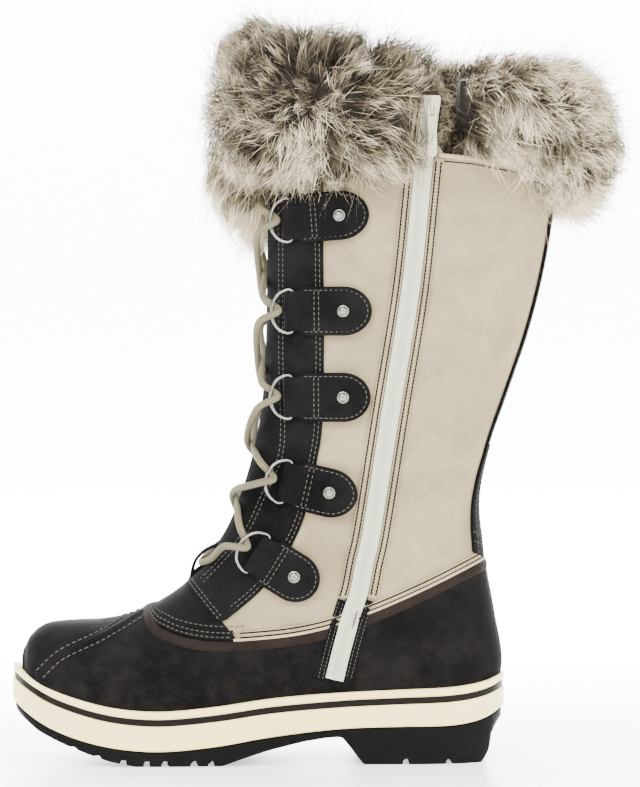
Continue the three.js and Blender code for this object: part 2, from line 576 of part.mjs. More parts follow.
// The pull tab: a bar under the arch, two arms and a long round-ended tab that hangs down.
function pull() {
  const half = PULL.wide / 2;
  const tip = Array.from({ length: 7 }, (_, k) => {
    const turn = Math.PI + (Math.PI * k) / 6;
    return [half * Math.cos(turn), -PULL.long + half + half * Math.sin(turn)];
  });
  const back = hub.y - PULL.bar / 2;
  const tab = plate(hub, [[-half, PULL.bar / 2], ...tip, [half, PULL.bar / 2]], back, PULL.bar);
  const eye = plate(hub, [[-1.25, -PULL.bar / 2], [-1.25, -7], [1.25, -7], [1.25, -PULL.bar / 2]],
    back - 1, PULL.bar + 2);
  return tab.subtract(eye);
}
piece('zip_pull', pull(), COLOURS.zip);

// ---- fur collar -------------------------------------------------------------------------

const fur = Object.fromEntries(Object.keys(FUR[0]).map((key) => [key, column(FUR, 'turn', key)]));
const FUR_STEPS = 22;
const FUR_SIDES = 10;
const COLLAR_AT = LAST_END - 2;

function furCollar() {
  const first = FUR[0].turn;
  const final = FUR.at(-1).turn;
  const place = (u, v, target) => {
    const ring = v * (FUR_STEPS + 2) - 1;
    const degrees = THREE.MathUtils.lerp(first, final, THREE.MathUtils.clamp(ring / FUR_STEPS, 0, 1));
    const turn = THREE.MathUtils.degToRad(degrees);
    const wall = lastPoint(COLLAR_AT, turn);
    const out = lastNormal(COLLAR_AT, turn).setZ(0).normalize();
    const inside = ring > -0.5 && ring < FUR_STEPS + 0.5;
    const swing = -2 * Math.PI * u;
    const reach = inside ? fur.deep(degrees) * Math.cos(swing) : 0;
    target.set(wall.x, wall.y, fur.base(degrees) + (inside ? fur.tall(degrees) * Math.sin(swing) : 0));
    target.addScaledVector(out, fur.out(degrees) + reach);
  };
  const roll = solid(new ParametricGeometry(place, FUR_SIDES, FUR_STEPS + 2));
  const parting = planSlab([
    new THREE.Vector2(PARTING[0], 20), new THREE.Vector2(PARTING[1], 20),
    new THREE.Vector2(PARTING[1], 120), new THREE.Vector2(PARTING[0], 120),
  ], 200, FAR + 100);
  return roll.subtract(form(TRIM + GAP).intersect(under(TOP_LINE, -GAP))).subtract(parting);
}
piece('fur_collar', furCollar(), COLOURS.fur);

export default boot;
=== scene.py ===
"""A tall winter boot for the right foot, dressed over its CAD frame.

Metres, +X to the toe, +Y to the inner side with the zip, +Z up, the origin on the floor under
the middle of the heel. Given sizes stand in millimetres and are turned into metres by MM.
"""

import bpy
import numpy as np
from bpy.props import FloatProperty, FloatVectorProperty, IntProperty, PointerProperty
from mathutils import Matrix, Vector


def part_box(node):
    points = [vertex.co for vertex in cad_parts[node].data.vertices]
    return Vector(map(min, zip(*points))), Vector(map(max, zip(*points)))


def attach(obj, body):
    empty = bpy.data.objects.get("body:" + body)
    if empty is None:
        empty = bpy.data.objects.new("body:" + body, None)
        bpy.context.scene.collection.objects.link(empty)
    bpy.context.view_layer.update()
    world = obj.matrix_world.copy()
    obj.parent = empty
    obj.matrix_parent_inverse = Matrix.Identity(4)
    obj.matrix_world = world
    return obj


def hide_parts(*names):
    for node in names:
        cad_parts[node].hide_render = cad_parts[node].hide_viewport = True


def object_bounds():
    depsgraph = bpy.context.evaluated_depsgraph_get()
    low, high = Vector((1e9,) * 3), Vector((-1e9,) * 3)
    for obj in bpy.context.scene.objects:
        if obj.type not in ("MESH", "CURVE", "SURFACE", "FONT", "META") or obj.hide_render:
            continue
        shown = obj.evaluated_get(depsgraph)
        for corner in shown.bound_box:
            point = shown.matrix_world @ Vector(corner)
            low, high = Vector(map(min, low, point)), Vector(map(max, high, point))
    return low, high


bl_info = {
    "name": "Winter boot",
    "version": (1, 0, 0),
    "blender": (4, 5, 0),
    "location": "3D View > Sidebar > Boot",
    "description": "Builds the soles, leather, zip, lace, fur and stage of a tall winter boot",
    "category": "Object",
}

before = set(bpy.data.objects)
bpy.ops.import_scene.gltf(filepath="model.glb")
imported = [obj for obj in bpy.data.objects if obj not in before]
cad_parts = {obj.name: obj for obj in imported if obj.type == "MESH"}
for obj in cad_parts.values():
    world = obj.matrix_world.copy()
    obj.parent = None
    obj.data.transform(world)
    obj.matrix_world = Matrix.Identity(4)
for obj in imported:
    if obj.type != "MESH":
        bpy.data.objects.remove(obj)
CAD_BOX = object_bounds()

MM = 0.001
GAP = 0.3 * MM
WALL = 2.4 * MM
TRIM = 1.4 * MM
TAB_FROM = 2.0 * MM
TAB_TO = 4.6 * MM
THROAT_HALF = 11 * MM
TONGUE_HALF, STAY_HALF = 27, 11  # in millimetres
WIRE = 1.7 * MM
RING_HALF = 12.4 * MM
RING_REACH = 12.6 * MM
RING_LIFT = 0.3
RING_RISE = 0.6 * MM
RIVET_SCALE = 0.76
INSIDE = np.array([0.01, 0.0, 0.2])  # a point inside the shaft, which surfaces face away from
SAME_PLACE = 2e-6  # points that round to the same multiple of it are joined
BOTH_SIDES = (("medial", 1), ("lateral", -1))

# The last: front point x z, back point x z, half widths inner and outer, sideways shift,
# shift of the widest place to the front, power of the outline. Toe first, top of the leg last.
LAST = np.array([
    (225.6, 63, 225.6, 45, 7, 7, 9, 0, 2.1),
    (222, 70, 222, 31, 18, 18, 8, -0.05, 2.2),
    (214, 75.6, 214, 18, 29, 29, 5, -0.1, 2.3),
    (199, 77.2, 199, 10, 38, 37, 3, -0.14, 2.4),
    (182, 77.8, 182, 4, 43.5, 42, 1, -0.16, 2.4),
    (165, 81.5, 163, 0, 46, 46, 0, -0.2, 2.4),
    (150, 89.4, 141, -1, 46.5, 48.5, -1, -0.24, 2.4),
    (138, 97.5, 113, 1, 43.5, 48, -1, -0.26, 2.4),
    (128, 107.5, 82, 4, 38.5, 45, -1, -0.22, 2.5),
    (119, 120, 46, 6, 36, 41, -1, -0.14, 2.6),
    (111.5, 133.5, 6, 7, 36, 39, 0, -0.06, 2.7),
    (105.5, 148, -27, 17, 36, 37.5, 0, 0, 2.7),
    (100.5, 164, -42.3, 50, 36, 36.5, 0, 0.02, 2.6),
    (96.5, 180, -38.6, 84, 36, 36, 0, 0.02, 2.5),
    (93.5, 196, -32.8, 116, 36.5, 36.5, 0, 0, 2.5),
    (91.2, 216, -29.5, 147, 38, 38, 0, 0, 2.4),
    (90, 240, -35.5, 178, 40, 40.5, 0, -0.02, 2.4),
    (89.8, 264, -47, 211, 42, 43, 0, -0.03, 2.3),
    (89.4, 288, -58.5, 245, 43.5, 45, 0, -0.03, 2.3),
    (89, 313, -67.3, 280, 44.5, 46, 0, -0.03, 2.3),
    (88.3, 340, -72.8, 314, 45, 46.5, 0, -0.03, 2.3),
    (87.5, 368, -75, 342, 45, 46.5, 0, -0.03, 2.3),
    (87, 392, -76, 366, 45, 46.5, 0, -0.03, 2.3),
]) * np.array([MM] * 7 + [1, 1])

# The sole's edge seen from above: x y.
SOLE_OUTLINE = np.array([
    (-46, 0), (-41, 18), (-26, 32), (0, 38.5), (38, 39.5), (80, 42.5), (120, 49), (155, 51.5),
    (187, 48.5), (212, 38.5), (228, 24), (234.5, 8), (231.5, -9), (219, -25.5), (193, -41.5),
    (160, -50), (120, -53.5), (80, -49.5), (38, -43), (0, -39.5), (-26, -32), (-41, -18),
]) * MM

# Along the boot: x, top of the midsole, foot of the midsole.
SOLE_LAYERS = np.array([
    (-50, 43.5, 33), (-45, 41.5, 30.5), (-35, 38, 25.5), (-20, 35.4, 22.2), (15, 33.8, 21.2),
    (48, 32.2, 20), (88, 28.9, 15.6), (118, 24.9, 10.9), (150, 22.6, 8.4), (175, 24.6, 10.4),
    (197, 29.8, 15.4), (215, 36.3, 22.3), (228, 43.5, 30), (238, 50, 38),
]) * MM

# Underside of the outsole: x z; grooves between the lugs: x, depth.
TREAD = np.array([
    (-50, 30), (-44, 24), (-38.5, 19), (-36.5, 7), (-32, 0), (34.5, 0), (47, 15.2), (66, 13.4),
    (88, 8.2), (103, 3.6), (114, 0), (162, 0), (176, 2.6), (190, 7), (205, 12.6), (218, 18.4),
    (228, 25.5), (238, 34),
]) * MM
GROOVES = np.array([
    (120, 3), (130, 3), (146, 3), (156, 3), (169, 3.6), (183, 6), (197, 10), (-13, 3), (11, 3),
]) * MM

# Side-view lines, x z: top of the foot shell, top of the upper, facing's rear edge and lower
# end, middle of the zip.
SHELL_LINE = np.array([
    (-60, 124), (-35, 114.5), (-26, 110.5), (2, 97), (31, 84.5), (54, 76.5), (71, 72.6),
    (90, 70), (111, 68.6), (128, 69.5), (145, 74), (154, 80), (159, 92),
]) * MM
TOP_LINE = np.array([
    (-90, 318), (-75, 325), (-55, 336), (-26, 341), (-7, 342.6), (-1, 376), (100, 378),
]) * MM
FACING_REAR = np.array([
    (58, 372), (58, 190), (61, 170), (68, 139), (76, 121), (91, 99), (112, 80.5),
]) * MM
FACING_END = np.array([(112, 80.5), (117.5, 79.5), (134, 99)]) * MM
ZIP_LINE = np.array([
    (51.5, 46.5), (46.2, 68), (41.3, 85), (37.4, 97), (34.2, 113), (31.2, 126), (20, 196),
    (8.6, 267), (3.2, 318), (1, 340), (-3.4, 376),
]) * MM

# Ring tabs, top to bottom: bar x z, rivet x z, reach of the round end.
TABS = np.array([
    (75, 306, 47.5, 308, 16), (74, 254.5, 45.5, 254.5, 15.5), (74.5, 206.3, 45.8, 206.3, 15),
    (77, 158, 53.6, 152.5, 15.5), (93, 117, 73.5, 105, 14.5),
]) * MM

# Fur collar: degrees round from the front, height, distance out, half depth, half height.
FUR = np.array([
    (95, 368, 1, 10, 16), (108, 370, 3, 19, 25), (125, 368, 6, 24, 29), (150, 359, 10, 27, 36),
    (180, 352, 13, 27, 42), (215, 358, 9, 26, 41), (260, 363, 6, 24, 43), (305, 370, 7, 26, 46),
    (340, 371, 9, 28, 47.5), (360, 371.5, 10, 28, 48), (390, 370.5, 8, 27, 47),
    (420, 368, 6, 25, 45), (442, 366, 4, 22, 40), (456, 366, 3, 18, 34),
]) * np.array([1, MM, MM, MM, MM])


# ---- curves and the last ----------------------------------------------------------------


def curve(xs, ys):
    """A smooth function through the points (xs, ys), level beyond both ends.

    Between two points it is the cubic whose slopes are those of the chords over the
    neighbouring points; at the two ends it leaves without bending.
    """
    xs, ys = np.asarray(xs, float), np.asarray(ys, float)
    count = len(xs)

    def at(t):
        t = np.clip(np.asarray(t, float), xs[0], xs[-1])
        i = np.clip(np.searchsorted(xs, t, side="right") - 1, 0, count - 2)
        t0, t1, y0, y1 = xs[i], xs[i + 1], ys[i], ys[i + 1]
        starts, ends = i == 0, i == count - 2
        before = np.where(starts, t1, xs[np.maximum(i - 1, 0)])
        y_before = np.where(starts, y1, ys[np.maximum(i - 1, 0)])
        after = np.where(ends, t0, xs[np.minimum(i + 2, count - 1)])
        y_after = np.where(ends, y0, ys[np.minimum(i + 2, count - 1)])
        half = (t1 - t0) / 2
        wp, wn, p = half / (t0 - before), half / (after - t1), (t - t0) / (t1 - t0)
        p2, p3 = p * p, p * p * p
        return (
            (-wp * p3 + 2 * wp * p2 - wp * p) * y_before
            + ((1 + wp) * p3 + (-1.5 - 2 * wp) * p2 + (wp - 0.5) * p + 1) * y0
            + ((-1 - wn) * p3 + (1.5 + wn) * p2 + 0.5 * p) * y1
            + (wn * p3 - wn * p2) * y_after
        )

    return at


ENDS = len(LAST) - 1
ANKLE = 14  # the section where the search for a line round the foot ends and the leg's starts
front_x, front_z, back_x, back_z, inner, outer, middle, skew, square = (
    curve(range(len(LAST)), column) for column in LAST.T
)
shell_line = curve(*SHELL_LINE.T)
plate_top = curve(SOLE_LAYERS[:, 0], SOLE_LAYERS[:, 1])
plate_foot = curve(SOLE_LAYERS[:, 0], SOLE_LAYERS[:, 2])


def top_line(x):
    """Height of the upper's top edge at x: straight between its given points."""
    return np.interp(x, *TOP_LINE.T)


def unit(v):
    """The vectors at length one."""
    return v / np.maximum(np.linalg.norm(v, axis=-1, keepdims=True), 1e-12)


def signed(value, to):
    """value raised to a power with its sign kept."""
    return np.sign(value) * np.abs(value) ** to


def halving(low, high, rounds, short):
    """Halves low to high again and again, where short(at) holds in the lower part: the two
    limits that are left and the last middle."""
    for _ in range(rounds):
        at = (low + high) / 2
        below = short(at)
        low, high = np.where(below, at, low), np.where(below, high, at)
    return low, high, at


def last_point(at, turn):
    """A point of the last: the superellipse |along|^n + |across|^n = 1 in the slanted section
    numbered at; turn goes round it from the front over the inner side. The widest place is
    shifted by skew * (1 - along^2)."""
    at, turn = np.broadcast_arrays(np.asarray(at, float), np.asarray(turn, float))
    along = signed(np.cos(turn), 2 / square(at))
    across = signed(np.sin(turn), 2 / square(at))
    place = (1 + along + skew(at) * (1 - along**2)) / 2
    half = np.where(across > 0, inner(at), outer(at))
    return np.stack([
        back_x(at) + (front_x(at) - back_x(at)) * place,
        middle(at) + across * half,
        back_z(at) + (front_z(at) - back_z(at)) * place,
    ], -1)


def last_normal(at, turn):
    """The way straight out of the last: across both of the surface's directions."""
    step = 0.02
    at = np.asarray(at, float)
    low, high = np.maximum(at - step, 0), np.minimum(at + step, ENDS)
    lengthways = last_point(high, turn) - last_point(low, turn)
    around = last_point(at, turn + step) - last_point(at, turn - step)
    return unit(np.cross(around, lengthways))


def skin(at, turn, out=0.0):
    """A point at out metres off the last. From at 0 down to -1 a quarter-round dome closes the
    toe: the ring shrinks with the cosine while it moves forwards with the sine."""
    at, turn, out = np.broadcast_arrays(np.asarray(at, float), turn, out)
    ring = np.clip(at, 0, ENDS)
    point = last_point(ring, turn) + last_normal(ring, turn) * out[..., None]
    swing = np.clip(-at, 0, 1) * np.pi / 2
    core = np.array([LAST[0, 0], LAST[0, 6], (LAST[0, 1] + LAST[0, 3]) / 2])
    dome = core + (point - core) * np.cos(swing)[..., None]
    dome[..., 0] = point[..., 0] + (LAST[0, 0] + 1.5 * MM + out - point[..., 0]) * np.sin(swing)
    return np.where((at < 0)[..., None], dome, point)


def side_view(x, z, side):
    """Where the last is seen at (x, z) from one side, as (at, turn): at is found by halving,
    and turn from the place between the section's back and front points."""
    x, z = np.broadcast_arrays(np.asarray(x, float), np.asarray(z, float))
    ends = lambda at: (back_x(at), back_z(at), front_x(at), front_z(at))

    def beyond(at):
        bx, bz, fx, fz = ends(at)
        return (fx - bx) * (z - bz) - (fz - bz) * (x - bx) > 0

    _, _, at = halving(np.zeros(x.shape), np.full(x.shape, float(ENDS)), 28, beyond)
    bx, bz, fx, fz = ends(at)
    span = (fx - bx) ** 2 + (fz - bz) ** 2
    place = 2 * ((x - bx) * (fx - bx) + (z - bz) * (fz - bz)) / span - 1
    lean = skew(at)
    along = np.clip(place, -1, 1) - lean
    along = 2 * along / (1 + np.sqrt(np.maximum(1 - 4 * lean * along, 0)))
    turn = np.arccos(np.clip(signed(np.clip(along, -1, 1), square(at) / 2), -1, 1))
    return at, side * turn


def turn_at(at, y):
    """The turn, in the front half, at which a section reaches sideways to y."""
    across = (y - middle(at)) / np.where(y > middle(at), inner(at), outer(at))
    across = np.clip(across, -1, 1)
    return np.sign(across) * np.arcsin(np.abs(across) ** (square(at) / 2))


def below(line, points):
    """Which points are lower than a side-view line."""
    return points[..., 2] < line(points[..., 0])


def at_height(z, first, final):
    """The section, between two of them, whose front point is z high."""
    rows = np.arange(first, final)
    return np.interp(z, front_z(rows), rows)


def meets(line, turn):
    """For each turn the section at which the last's surface rises through a side-view line."""
    start, end = np.zeros(turn.shape), np.full(turn.shape, float(ANKLE))
    low, high, _ = halving(start, end, 26, lambda at: below(line, skin(at, turn)))
    return (low + high) / 2


def spline(points, closed=False, per=16):
    """Points of the smooth curve through a row of points: a cubic between each two, whose
    slopes come from spacings that grow with the root of the distance."""
    points = np.asarray(points, float)
    if closed:
        rows = np.concatenate([points[-1:], points, points[:2]])
    else:
        rows = np.concatenate([2 * points[:1] - points[1:2], points, 2 * points[-1:] - points[-2:-1]])
    a, b, c, d = rows[:-3, None], rows[1:-2, None], rows[2:-1, None], rows[3:, None]
    gaps = np.maximum(np.sqrt(np.linalg.norm(np.diff(rows, axis=0), axis=1)), 1e-6)
    g0, g1, g2 = gaps[:-2, None, None], gaps[1:-1, None, None], gaps[2:, None, None]
    leave = ((b - a) / g0 - (c - a) / (g0 + g1) + (c - b) / g1) * g1
    reach = ((c - b) / g1 - (d - b) / (g1 + g2) + (d - c) / g2) * g1
    t = (np.arange(per) / per)[None, :, None]
    dense = (
        (2 * t**3 - 3 * t**2 + 1) * b + (t**3 - 2 * t**2 + t) * leave
        + (3 * t**2 - 2 * t**3) * c + (t**3 - t**2) * reach
    ).reshape(-1, points.shape[1])
    return dense if closed else np.concatenate([dense, points[-1:]])


def run_along(path):
    """The length of the path up to each of its points."""
    return np.concatenate([[0], np.cumsum(np.linalg.norm(np.diff(path, axis=0), axis=1))])


def read_at(marks, runs, rows):
    """Rows of values, given at the lengths runs, read at the lengths marks."""
    return np.stack([np.interp(marks, runs, column) for column in rows.T], -1)


def even(points, step=None, count=None, closed=False):
    """The same path with its points evenly spaced."""
    ring = np.concatenate([points, points[:1]]) if closed else points
    runs = run_along(ring)
    count = count or max(int(round(runs[-1] / step)) + 1, 3)
    marks = np.linspace(0, runs[-1], count + closed)[: count]
    return read_at(marks, runs, ring)


def slopes(path, closed=False):
    """The way along a path at each of its points."""
    if closed:
        return unit(np.roll(path, -1, 0) - np.roll(path, 1, 0))
    return unit(np.gradient(path, axis=0))


def beside(line, push):
    """A side-view line moved push to its left."""
    way = slopes(line)
    return line + np.stack([-way[:, 1], way[:, 0]], -1) * push


def seam(line, side, out, step=1.2 * MM):
    """A side-view line laid on the last: its points at out off the surface and the way out."""
    flat = even(line, step=step)
    at, turn = side_view(flat[:, 0], flat[:, 1], side)
    return skin(at, turn, out), last_normal(at, turn)


def smoothstep(value, low, high):
    """0 below low, 1 above high, 3t^2 - 2t^3 between."""
    t = np.clip((value - low) / (high - low), 0, 1)
    return t * t * (3 - 2 * t)


def bump(value, middle_at, width):
    """A soft hill of height 1: exp(-((value - middle) / width)^2)."""
    return np.exp(-(((value - middle_at) / width) ** 2))


# ---- meshes -----------------------------------------------------------------------------


class Shape:
    """Surfaces gathered into one mesh."""

    def __init__(self):
        self.points, self.faces, self.uvs, self.count = [], [], [], 0

    def grid(self, points, wrap=(False, False), uv=None, keep=None):
        """Adds a grid of points [rows, columns, 3], or many of them [copies, rows, ...]; each
        cell is a face, unless keep [rows, columns] is false at all its corners."""
        points = np.asarray(points, float)
        if points.ndim == 3:
            points = points[None]
        copies, rows, columns = points.shape[:3]
        i = np.arange(rows if wrap[0] else rows - 1)[:, None]
        j = np.arange(columns if wrap[1] else columns - 1)[None, :]
        i2, j2 = (i + 1) % rows, (j + 1) % columns
        cell = np.stack(np.broadcast_arrays(
            i * columns + j, i2 * columns + j, i2 * columns + j2, i * columns + j2), -1).reshape(-1, 4)
        if keep is not None:
            cell = cell[keep.ravel()[cell].any(1)]
        starts = np.arange(copies)[:, None, None] * rows * columns
        faces = (cell[None] + starts + self.count).reshape(-1, 4)
        if uv is None:
            uv = np.stack(np.meshgrid(np.linspace(0, 1, rows), np.linspace(0, 1, columns),
                                      indexing="ij"), -1)
        uv = np.broadcast_to(uv, (copies, rows, columns, 2))
        self.points.append(points.reshape(-1, 3))
        self.uvs.append(uv.reshape(-1, 2))
        self.faces.append(faces)
        self.count += copies * rows * columns
        return self

    def make(self, name, *materials, away=None, sharp=None):
        """The mesh object, at the origin. Points in the same place are joined, faces with two
        joined corners become triangles or go, and the rest turn outwards: away from the middle
        or from a given point."""
        points, uvs = np.concatenate(self.points), np.concatenate(self.uvs)
        faces = np.concatenate(self.faces)
        places = np.round(points / SAME_PLACE).astype(np.int64)
        _, first, back = np.unique(places, axis=0, return_index=True, return_inverse=True)
        kept, same = points[first], back.reshape(-1)
        held = same[faces]
        twice = held == np.roll(held, -1, axis=1)
        crossed = (held[:, 0] == held[:, 2]) | (held[:, 1] == held[:, 3])
        fours = ~twice.any(1) & ~crossed
        threes = (twice.sum(1) == 1) & ~crossed
        order = (twice[threes].argmax(1)[:, None] + np.arange(1, 4)) % 4
        rows = np.arange(int(threes.sum()))[:, None]
        quads, tris = faces[fours], faces[threes][rows, order]
        ref = np.asarray(points.mean(0) if away is None else away)
        a, b, c, d = (kept[same[quads[:, k]]] for k in range(4))
        volume = np.sum(np.cross(c - a, d - b) * ((a + b + c + d) / 4 - ref))
        if len(tris):
            a, b, c = (kept[same[tris[:, k]]] for k in range(3))
            volume += np.sum(np.cross(b - a, c - a) * ((a + b + c) / 3 - ref))
        if volume < 0:
            quads, tris = quads[:, ::-1], tris[:, ::-1]
        corners = np.concatenate([quads.ravel(), tris.ravel()])
        starts = np.concatenate([
            np.arange(len(quads)) * 4, len(quads) * 4 + np.arange(len(tris)) * 3,
        ])
        mesh = bpy.data.meshes.new(name)
        mesh.vertices.add(len(kept))
        mesh.vertices.foreach_set("co", kept.ravel())
        mesh.loops.add(len(corners))
        mesh.loops.foreach_set("vertex_index", same[corners])
        mesh.polygons.add(len(starts))
        mesh.polygons.foreach_set("loop_start", starts)
        mesh.uv_layers.new(name="UVMap").data.foreach_set("uv", uvs[corners].ravel())
        mesh.update(calc_edges=True)
        mesh.validate()
        mesh.shade_smooth()
        if sharp:
            mesh.set_sharp_from_angle(angle=sharp)
        for material in materials:
            mesh.materials.append(material)
        made = bpy.data.objects.new(name, mesh)
        bpy.context.scene.collection.objects.link(made)
        return made


def settle(shape, name, look, slot, replaces=(), body="root", thick=0.0, bevel=0.0, lining=None,
           **making):
    """Makes a piece, gives it its thickness (inwards) and soft edges, and ties it to the frame."""
    looks = (look, lining) if lining else (look,)
    made = shape.make(name, *(material(one) for one in looks), **making)
    if thick:
        solid = made.modifiers.new("Thickness", "SOLIDIFY")
        solid.thickness, solid.offset, solid.use_even_offset = thick, -1, True
        solid.material_offset, solid.material_offset_rim = len(looks) - 1, 0
    if bevel:
        soft = made.modifiers.new("Soft edges", "BEVEL")
        soft.width, soft.segments, soft.limit_method, soft.angle_limit = bevel, 2, "ANGLE", 0.9
    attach(made, body)
    if replaces:
        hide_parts(*replaces)


def sweep(path, up, profile, closed=False):
    """A profile (across, up) carried along a path: path + across * way x up + up * size. The
    profile is one loop, or one for each point of the path."""
    across = unit(np.cross(slopes(path, closed), up))
    profile = np.broadcast_to(profile, (len(path), *np.shape(profile)[-2:]))
    return path[:, None] + across[:, None] * profile[..., :1] + up[:, None] * profile[..., 1:]


def capped(points):
    """A swept grid whose ends are closed by drawing the first and last loops to their middles."""
    ends = [points[k].mean(0, keepdims=True).repeat(points.shape[1], 0)[None] for k in (0, -1)]
    return np.concatenate([ends[0], points, ends[1]])


def ring(radius, sides=10):
    """A circle as a profile."""
    turn = np.arange(sides) / sides * 2 * np.pi
    return np.stack([np.cos(turn), np.sin(turn)], -1) * radius


def lying(half, tall, power=3.0, sides=12, foot=0.0):
    """Profile of a strip that lies on a surface: half of a superellipse over a flat foot."""
    turn = np.linspace(0, np.pi, sides)
    across = signed(np.cos(turn), 2 / power) * half
    top = np.stack([across, np.abs(np.sin(turn)) ** (2 / power) * tall], -1)
    return np.concatenate([top, [[-half, foot], [half, foot]]])


def along_uv(path, loop):
    """Map coordinates in metres: how far along the path, how far round its profile."""
    runs = run_along(path)
    sides = run_along(loop)
    return np.stack(np.meshgrid(runs, sides, indexing="ij"), -1)


def strip(shape, path, up, profile):
    """Adds a closed strip to a shape: the profile swept along the path, with its ends shut."""
    body = capped(sweep(path, up, profile))
    uv = along_uv(np.concatenate([path[:1], path, path[-1:]]), profile)
    return shape.grid(body, wrap=(False, True), uv=uv)


def painted_shadow_line(shape, path, up, half, lift):
    """A thin dark line along a path: painted shadow for the trough a row of stitches is pulled down
    into.
    """
    across = unit(np.cross(slopes(path), up)) * half
    middle_of = path + up * lift
    return shape.grid(np.stack([middle_of - across, middle_of + across], 1))


def stitch_row(shape, path, up, pitch, long, thread, lift=0.0, lean=0.0):
    """Adds a row of stitches along a path. Each is a thread that bows out of the surface:
    along * s + up * (lift - sag * s^2) + a circle whose radius is r * (1 - s^4)^(1/2)."""
    runs = run_along(path)
    count = max(int(runs[-1] / pitch), 1)
    marks = (np.arange(count) + 0.5) * runs[-1] / count
    centre, out, way = (read_at(marks, runs, rows) for rows in (path, up, slopes(path)))
    out, way = unit(out), unit(way)
    across = unit(np.cross(way, out))
    way = unit(way + across * lean)
    across = unit(np.cross(way, out))
    s = np.array([-1, -0.8, 0, 0.8, 1])
    thin = np.sqrt(np.maximum(1 - s**4, 0))
    turn = np.arange(6) / 6 * 2 * np.pi
    round_out = np.cos(turn)[None] * thin[:, None] * thread
    round_side = np.sin(turn)[None] * thin[:, None] * thread
    rise = lift + thread * (0.55 - 0.9 * s**2)
    body = (
        centre[:, None, None] + way[:, None, None] * (s * long / 2)[None, :, None, None]
        + out[:, None, None] * (rise[:, None] + round_out)[None, ..., None]
        + across[:, None, None] * round_side[None, ..., None]
    )
    return shape.grid(body, wrap=(False, True))


def oblong(flats):
    """Constants (a, b, c, d) of a rounded oblong loop: across = a * (half width - r) + b * r
    and up = c * (half height - r) + d * r, going round from the right over the top. The flats
    are places along its long sides; each upright side has one point, in its middle."""
    rows = []
    for k, (a, c) in enumerate([(1, 1), (-1, 1), (-1, -1), (1, -1)]):
        for turn in np.linspace(0, np.pi / 2, 4) + k * np.pi / 2:
            rows.append((a, np.cos(turn), c, np.sin(turn)))
        if k % 2 == 0:
            rows += [(-a * run, 0, c, c) for run in flats]
        else:
            rows.append((a, a, 0, 0))
    return np.array(rows, float)


def oblong_loops(half, low, high, radius, loop):
    """The oblong's (across, up) points for arrays of half widths and heights."""
    tall = (high - low) / 2
    r = np.minimum(np.minimum(radius, half), tall)[..., None]
    across = loop[:, 0] * (half[..., None] - r) + loop[:, 1] * r
    up = ((high + low) / 2)[..., None] + loop[:, 2] * (tall[..., None] - r) + loop[:, 3] * r
    return across, up


# ---- settings ---------------------------------------------------------------------------


def srgb(code):
    """The linear colour of a hex code."""
    parts = np.array([int(code[i:i + 2], 16) for i in (1, 3, 5)]) / 255
    linear = np.where(parts <= 0.04045, parts / 12.92, ((parts + 0.055) / 1.055) ** 2.4)
    return (*(float(x) for x in linear), 1.0)


def colour(name, code, description):
    return FloatVectorProperty(
        name=name, description=description, default=srgb(code), size=4, min=0, max=1, subtype="COLOR")


def length(name, default, description):
    return FloatProperty(
        name=name, description=description, default=default * MM, unit="LENGTH", subtype="DISTANCE")


class BootSizes(bpy.types.PropertyGroup):
    """Sizes of the boot's small parts."""

    pitch: length("Stitch pitch", 2.9, "From one stitch to the next")
    stitch: length("Stitch length", 2.1, "Length of one stitch")
    thread: length("Thread radius", 0.3, "Radius of the sewing thread")
    fine_pitch: length("Fine pitch", 2.0, "Pitch of the dark stitching beside the zip")
    binding: length("Binding", 2.5, "How far the rolled binding stands off the upper")
    lace: length("Lace", 4.1, "Diameter of the lace")
    crease: length("Crease depth", 1.1, "Depth of the ankle's creases")
    hair: length("Hair length", 29, "Length of the fur's hairs")
    hair_width: length("Hair width", 0.38, "Width of a hair at its root")
    locks: IntProperty(
        name="Locks", description="Locks of hair in one piece of fur", default=640, min=10)
    hairs: IntProperty(name="Hairs in a lock", description="Hairs in one lock", default=31, min=1)


class BootColours(bpy.types.PropertyGroup):
    """Colours of the boot."""

    outsole: colour("Outsole", "#090909", "Black rubber under the boot")
    midsole: colour("Midsole", "#fdee9e", "Cream rubber of the midsole and welt")
    stripe: colour("Stripe", "#100e0d", "Dark line round the sole")
    shaft: colour("Shaft", "#8e8264", "Taupe nubuck of the shaft")
    charcoal: colour("Charcoal", "#0c0b0b", "Charcoal nubuck of shell, facings and tabs")
    tongue: colour("Tongue", "#0b0a09", "Tongue leather")
    binding: colour("Binding", "#1e1815", "Brown rolled binding")
    piping: colour("Piping", "#a8977a", "Light piping over the binding")
    stay: colour("Back stay", "#080807", "Black strip up the back")
    insole: colour("Insole", "#5c5546", "Felt insole")
    zip: colour("Zip", "#c9c6b0", "Zip tape, slider and pull")
    lace: colour("Lace", "#787258", "Lace")
    fur_root: colour("Fur root", "#17120c", "Fur near the skin")
    fur_middle: colour("Fur middle", "#665b45", "Fur half way")
    fur_tip: colour("Fur tip", "#e6d9b8", "Fur at the tips")
    # Both thread colours also paint shade: the pale one colours the lines along the zip's coil, and the
    # dark one colours the shadow lines under stitch rows and at the zip tape's edges.
    pale_thread: colour("Pale thread", "#54514b", "Stitches on the charcoal leather")
    dark_thread: colour("Dark thread", "#060504", "Stitches on the taupe leather")
    lining: colour("Lining", "#3d362d", "Fleece lining")
    nickel: colour("Nickel", "#85827b", "D-rings and rivets")
    floor: colour("Floor", "#f7f7f7", "Studio floor")


def sizes():
    return bpy.context.scene.boot_sizes


def colours():
    return bpy.context.scene.boot_colours


# ---- materials --------------------------------------------------------------------------


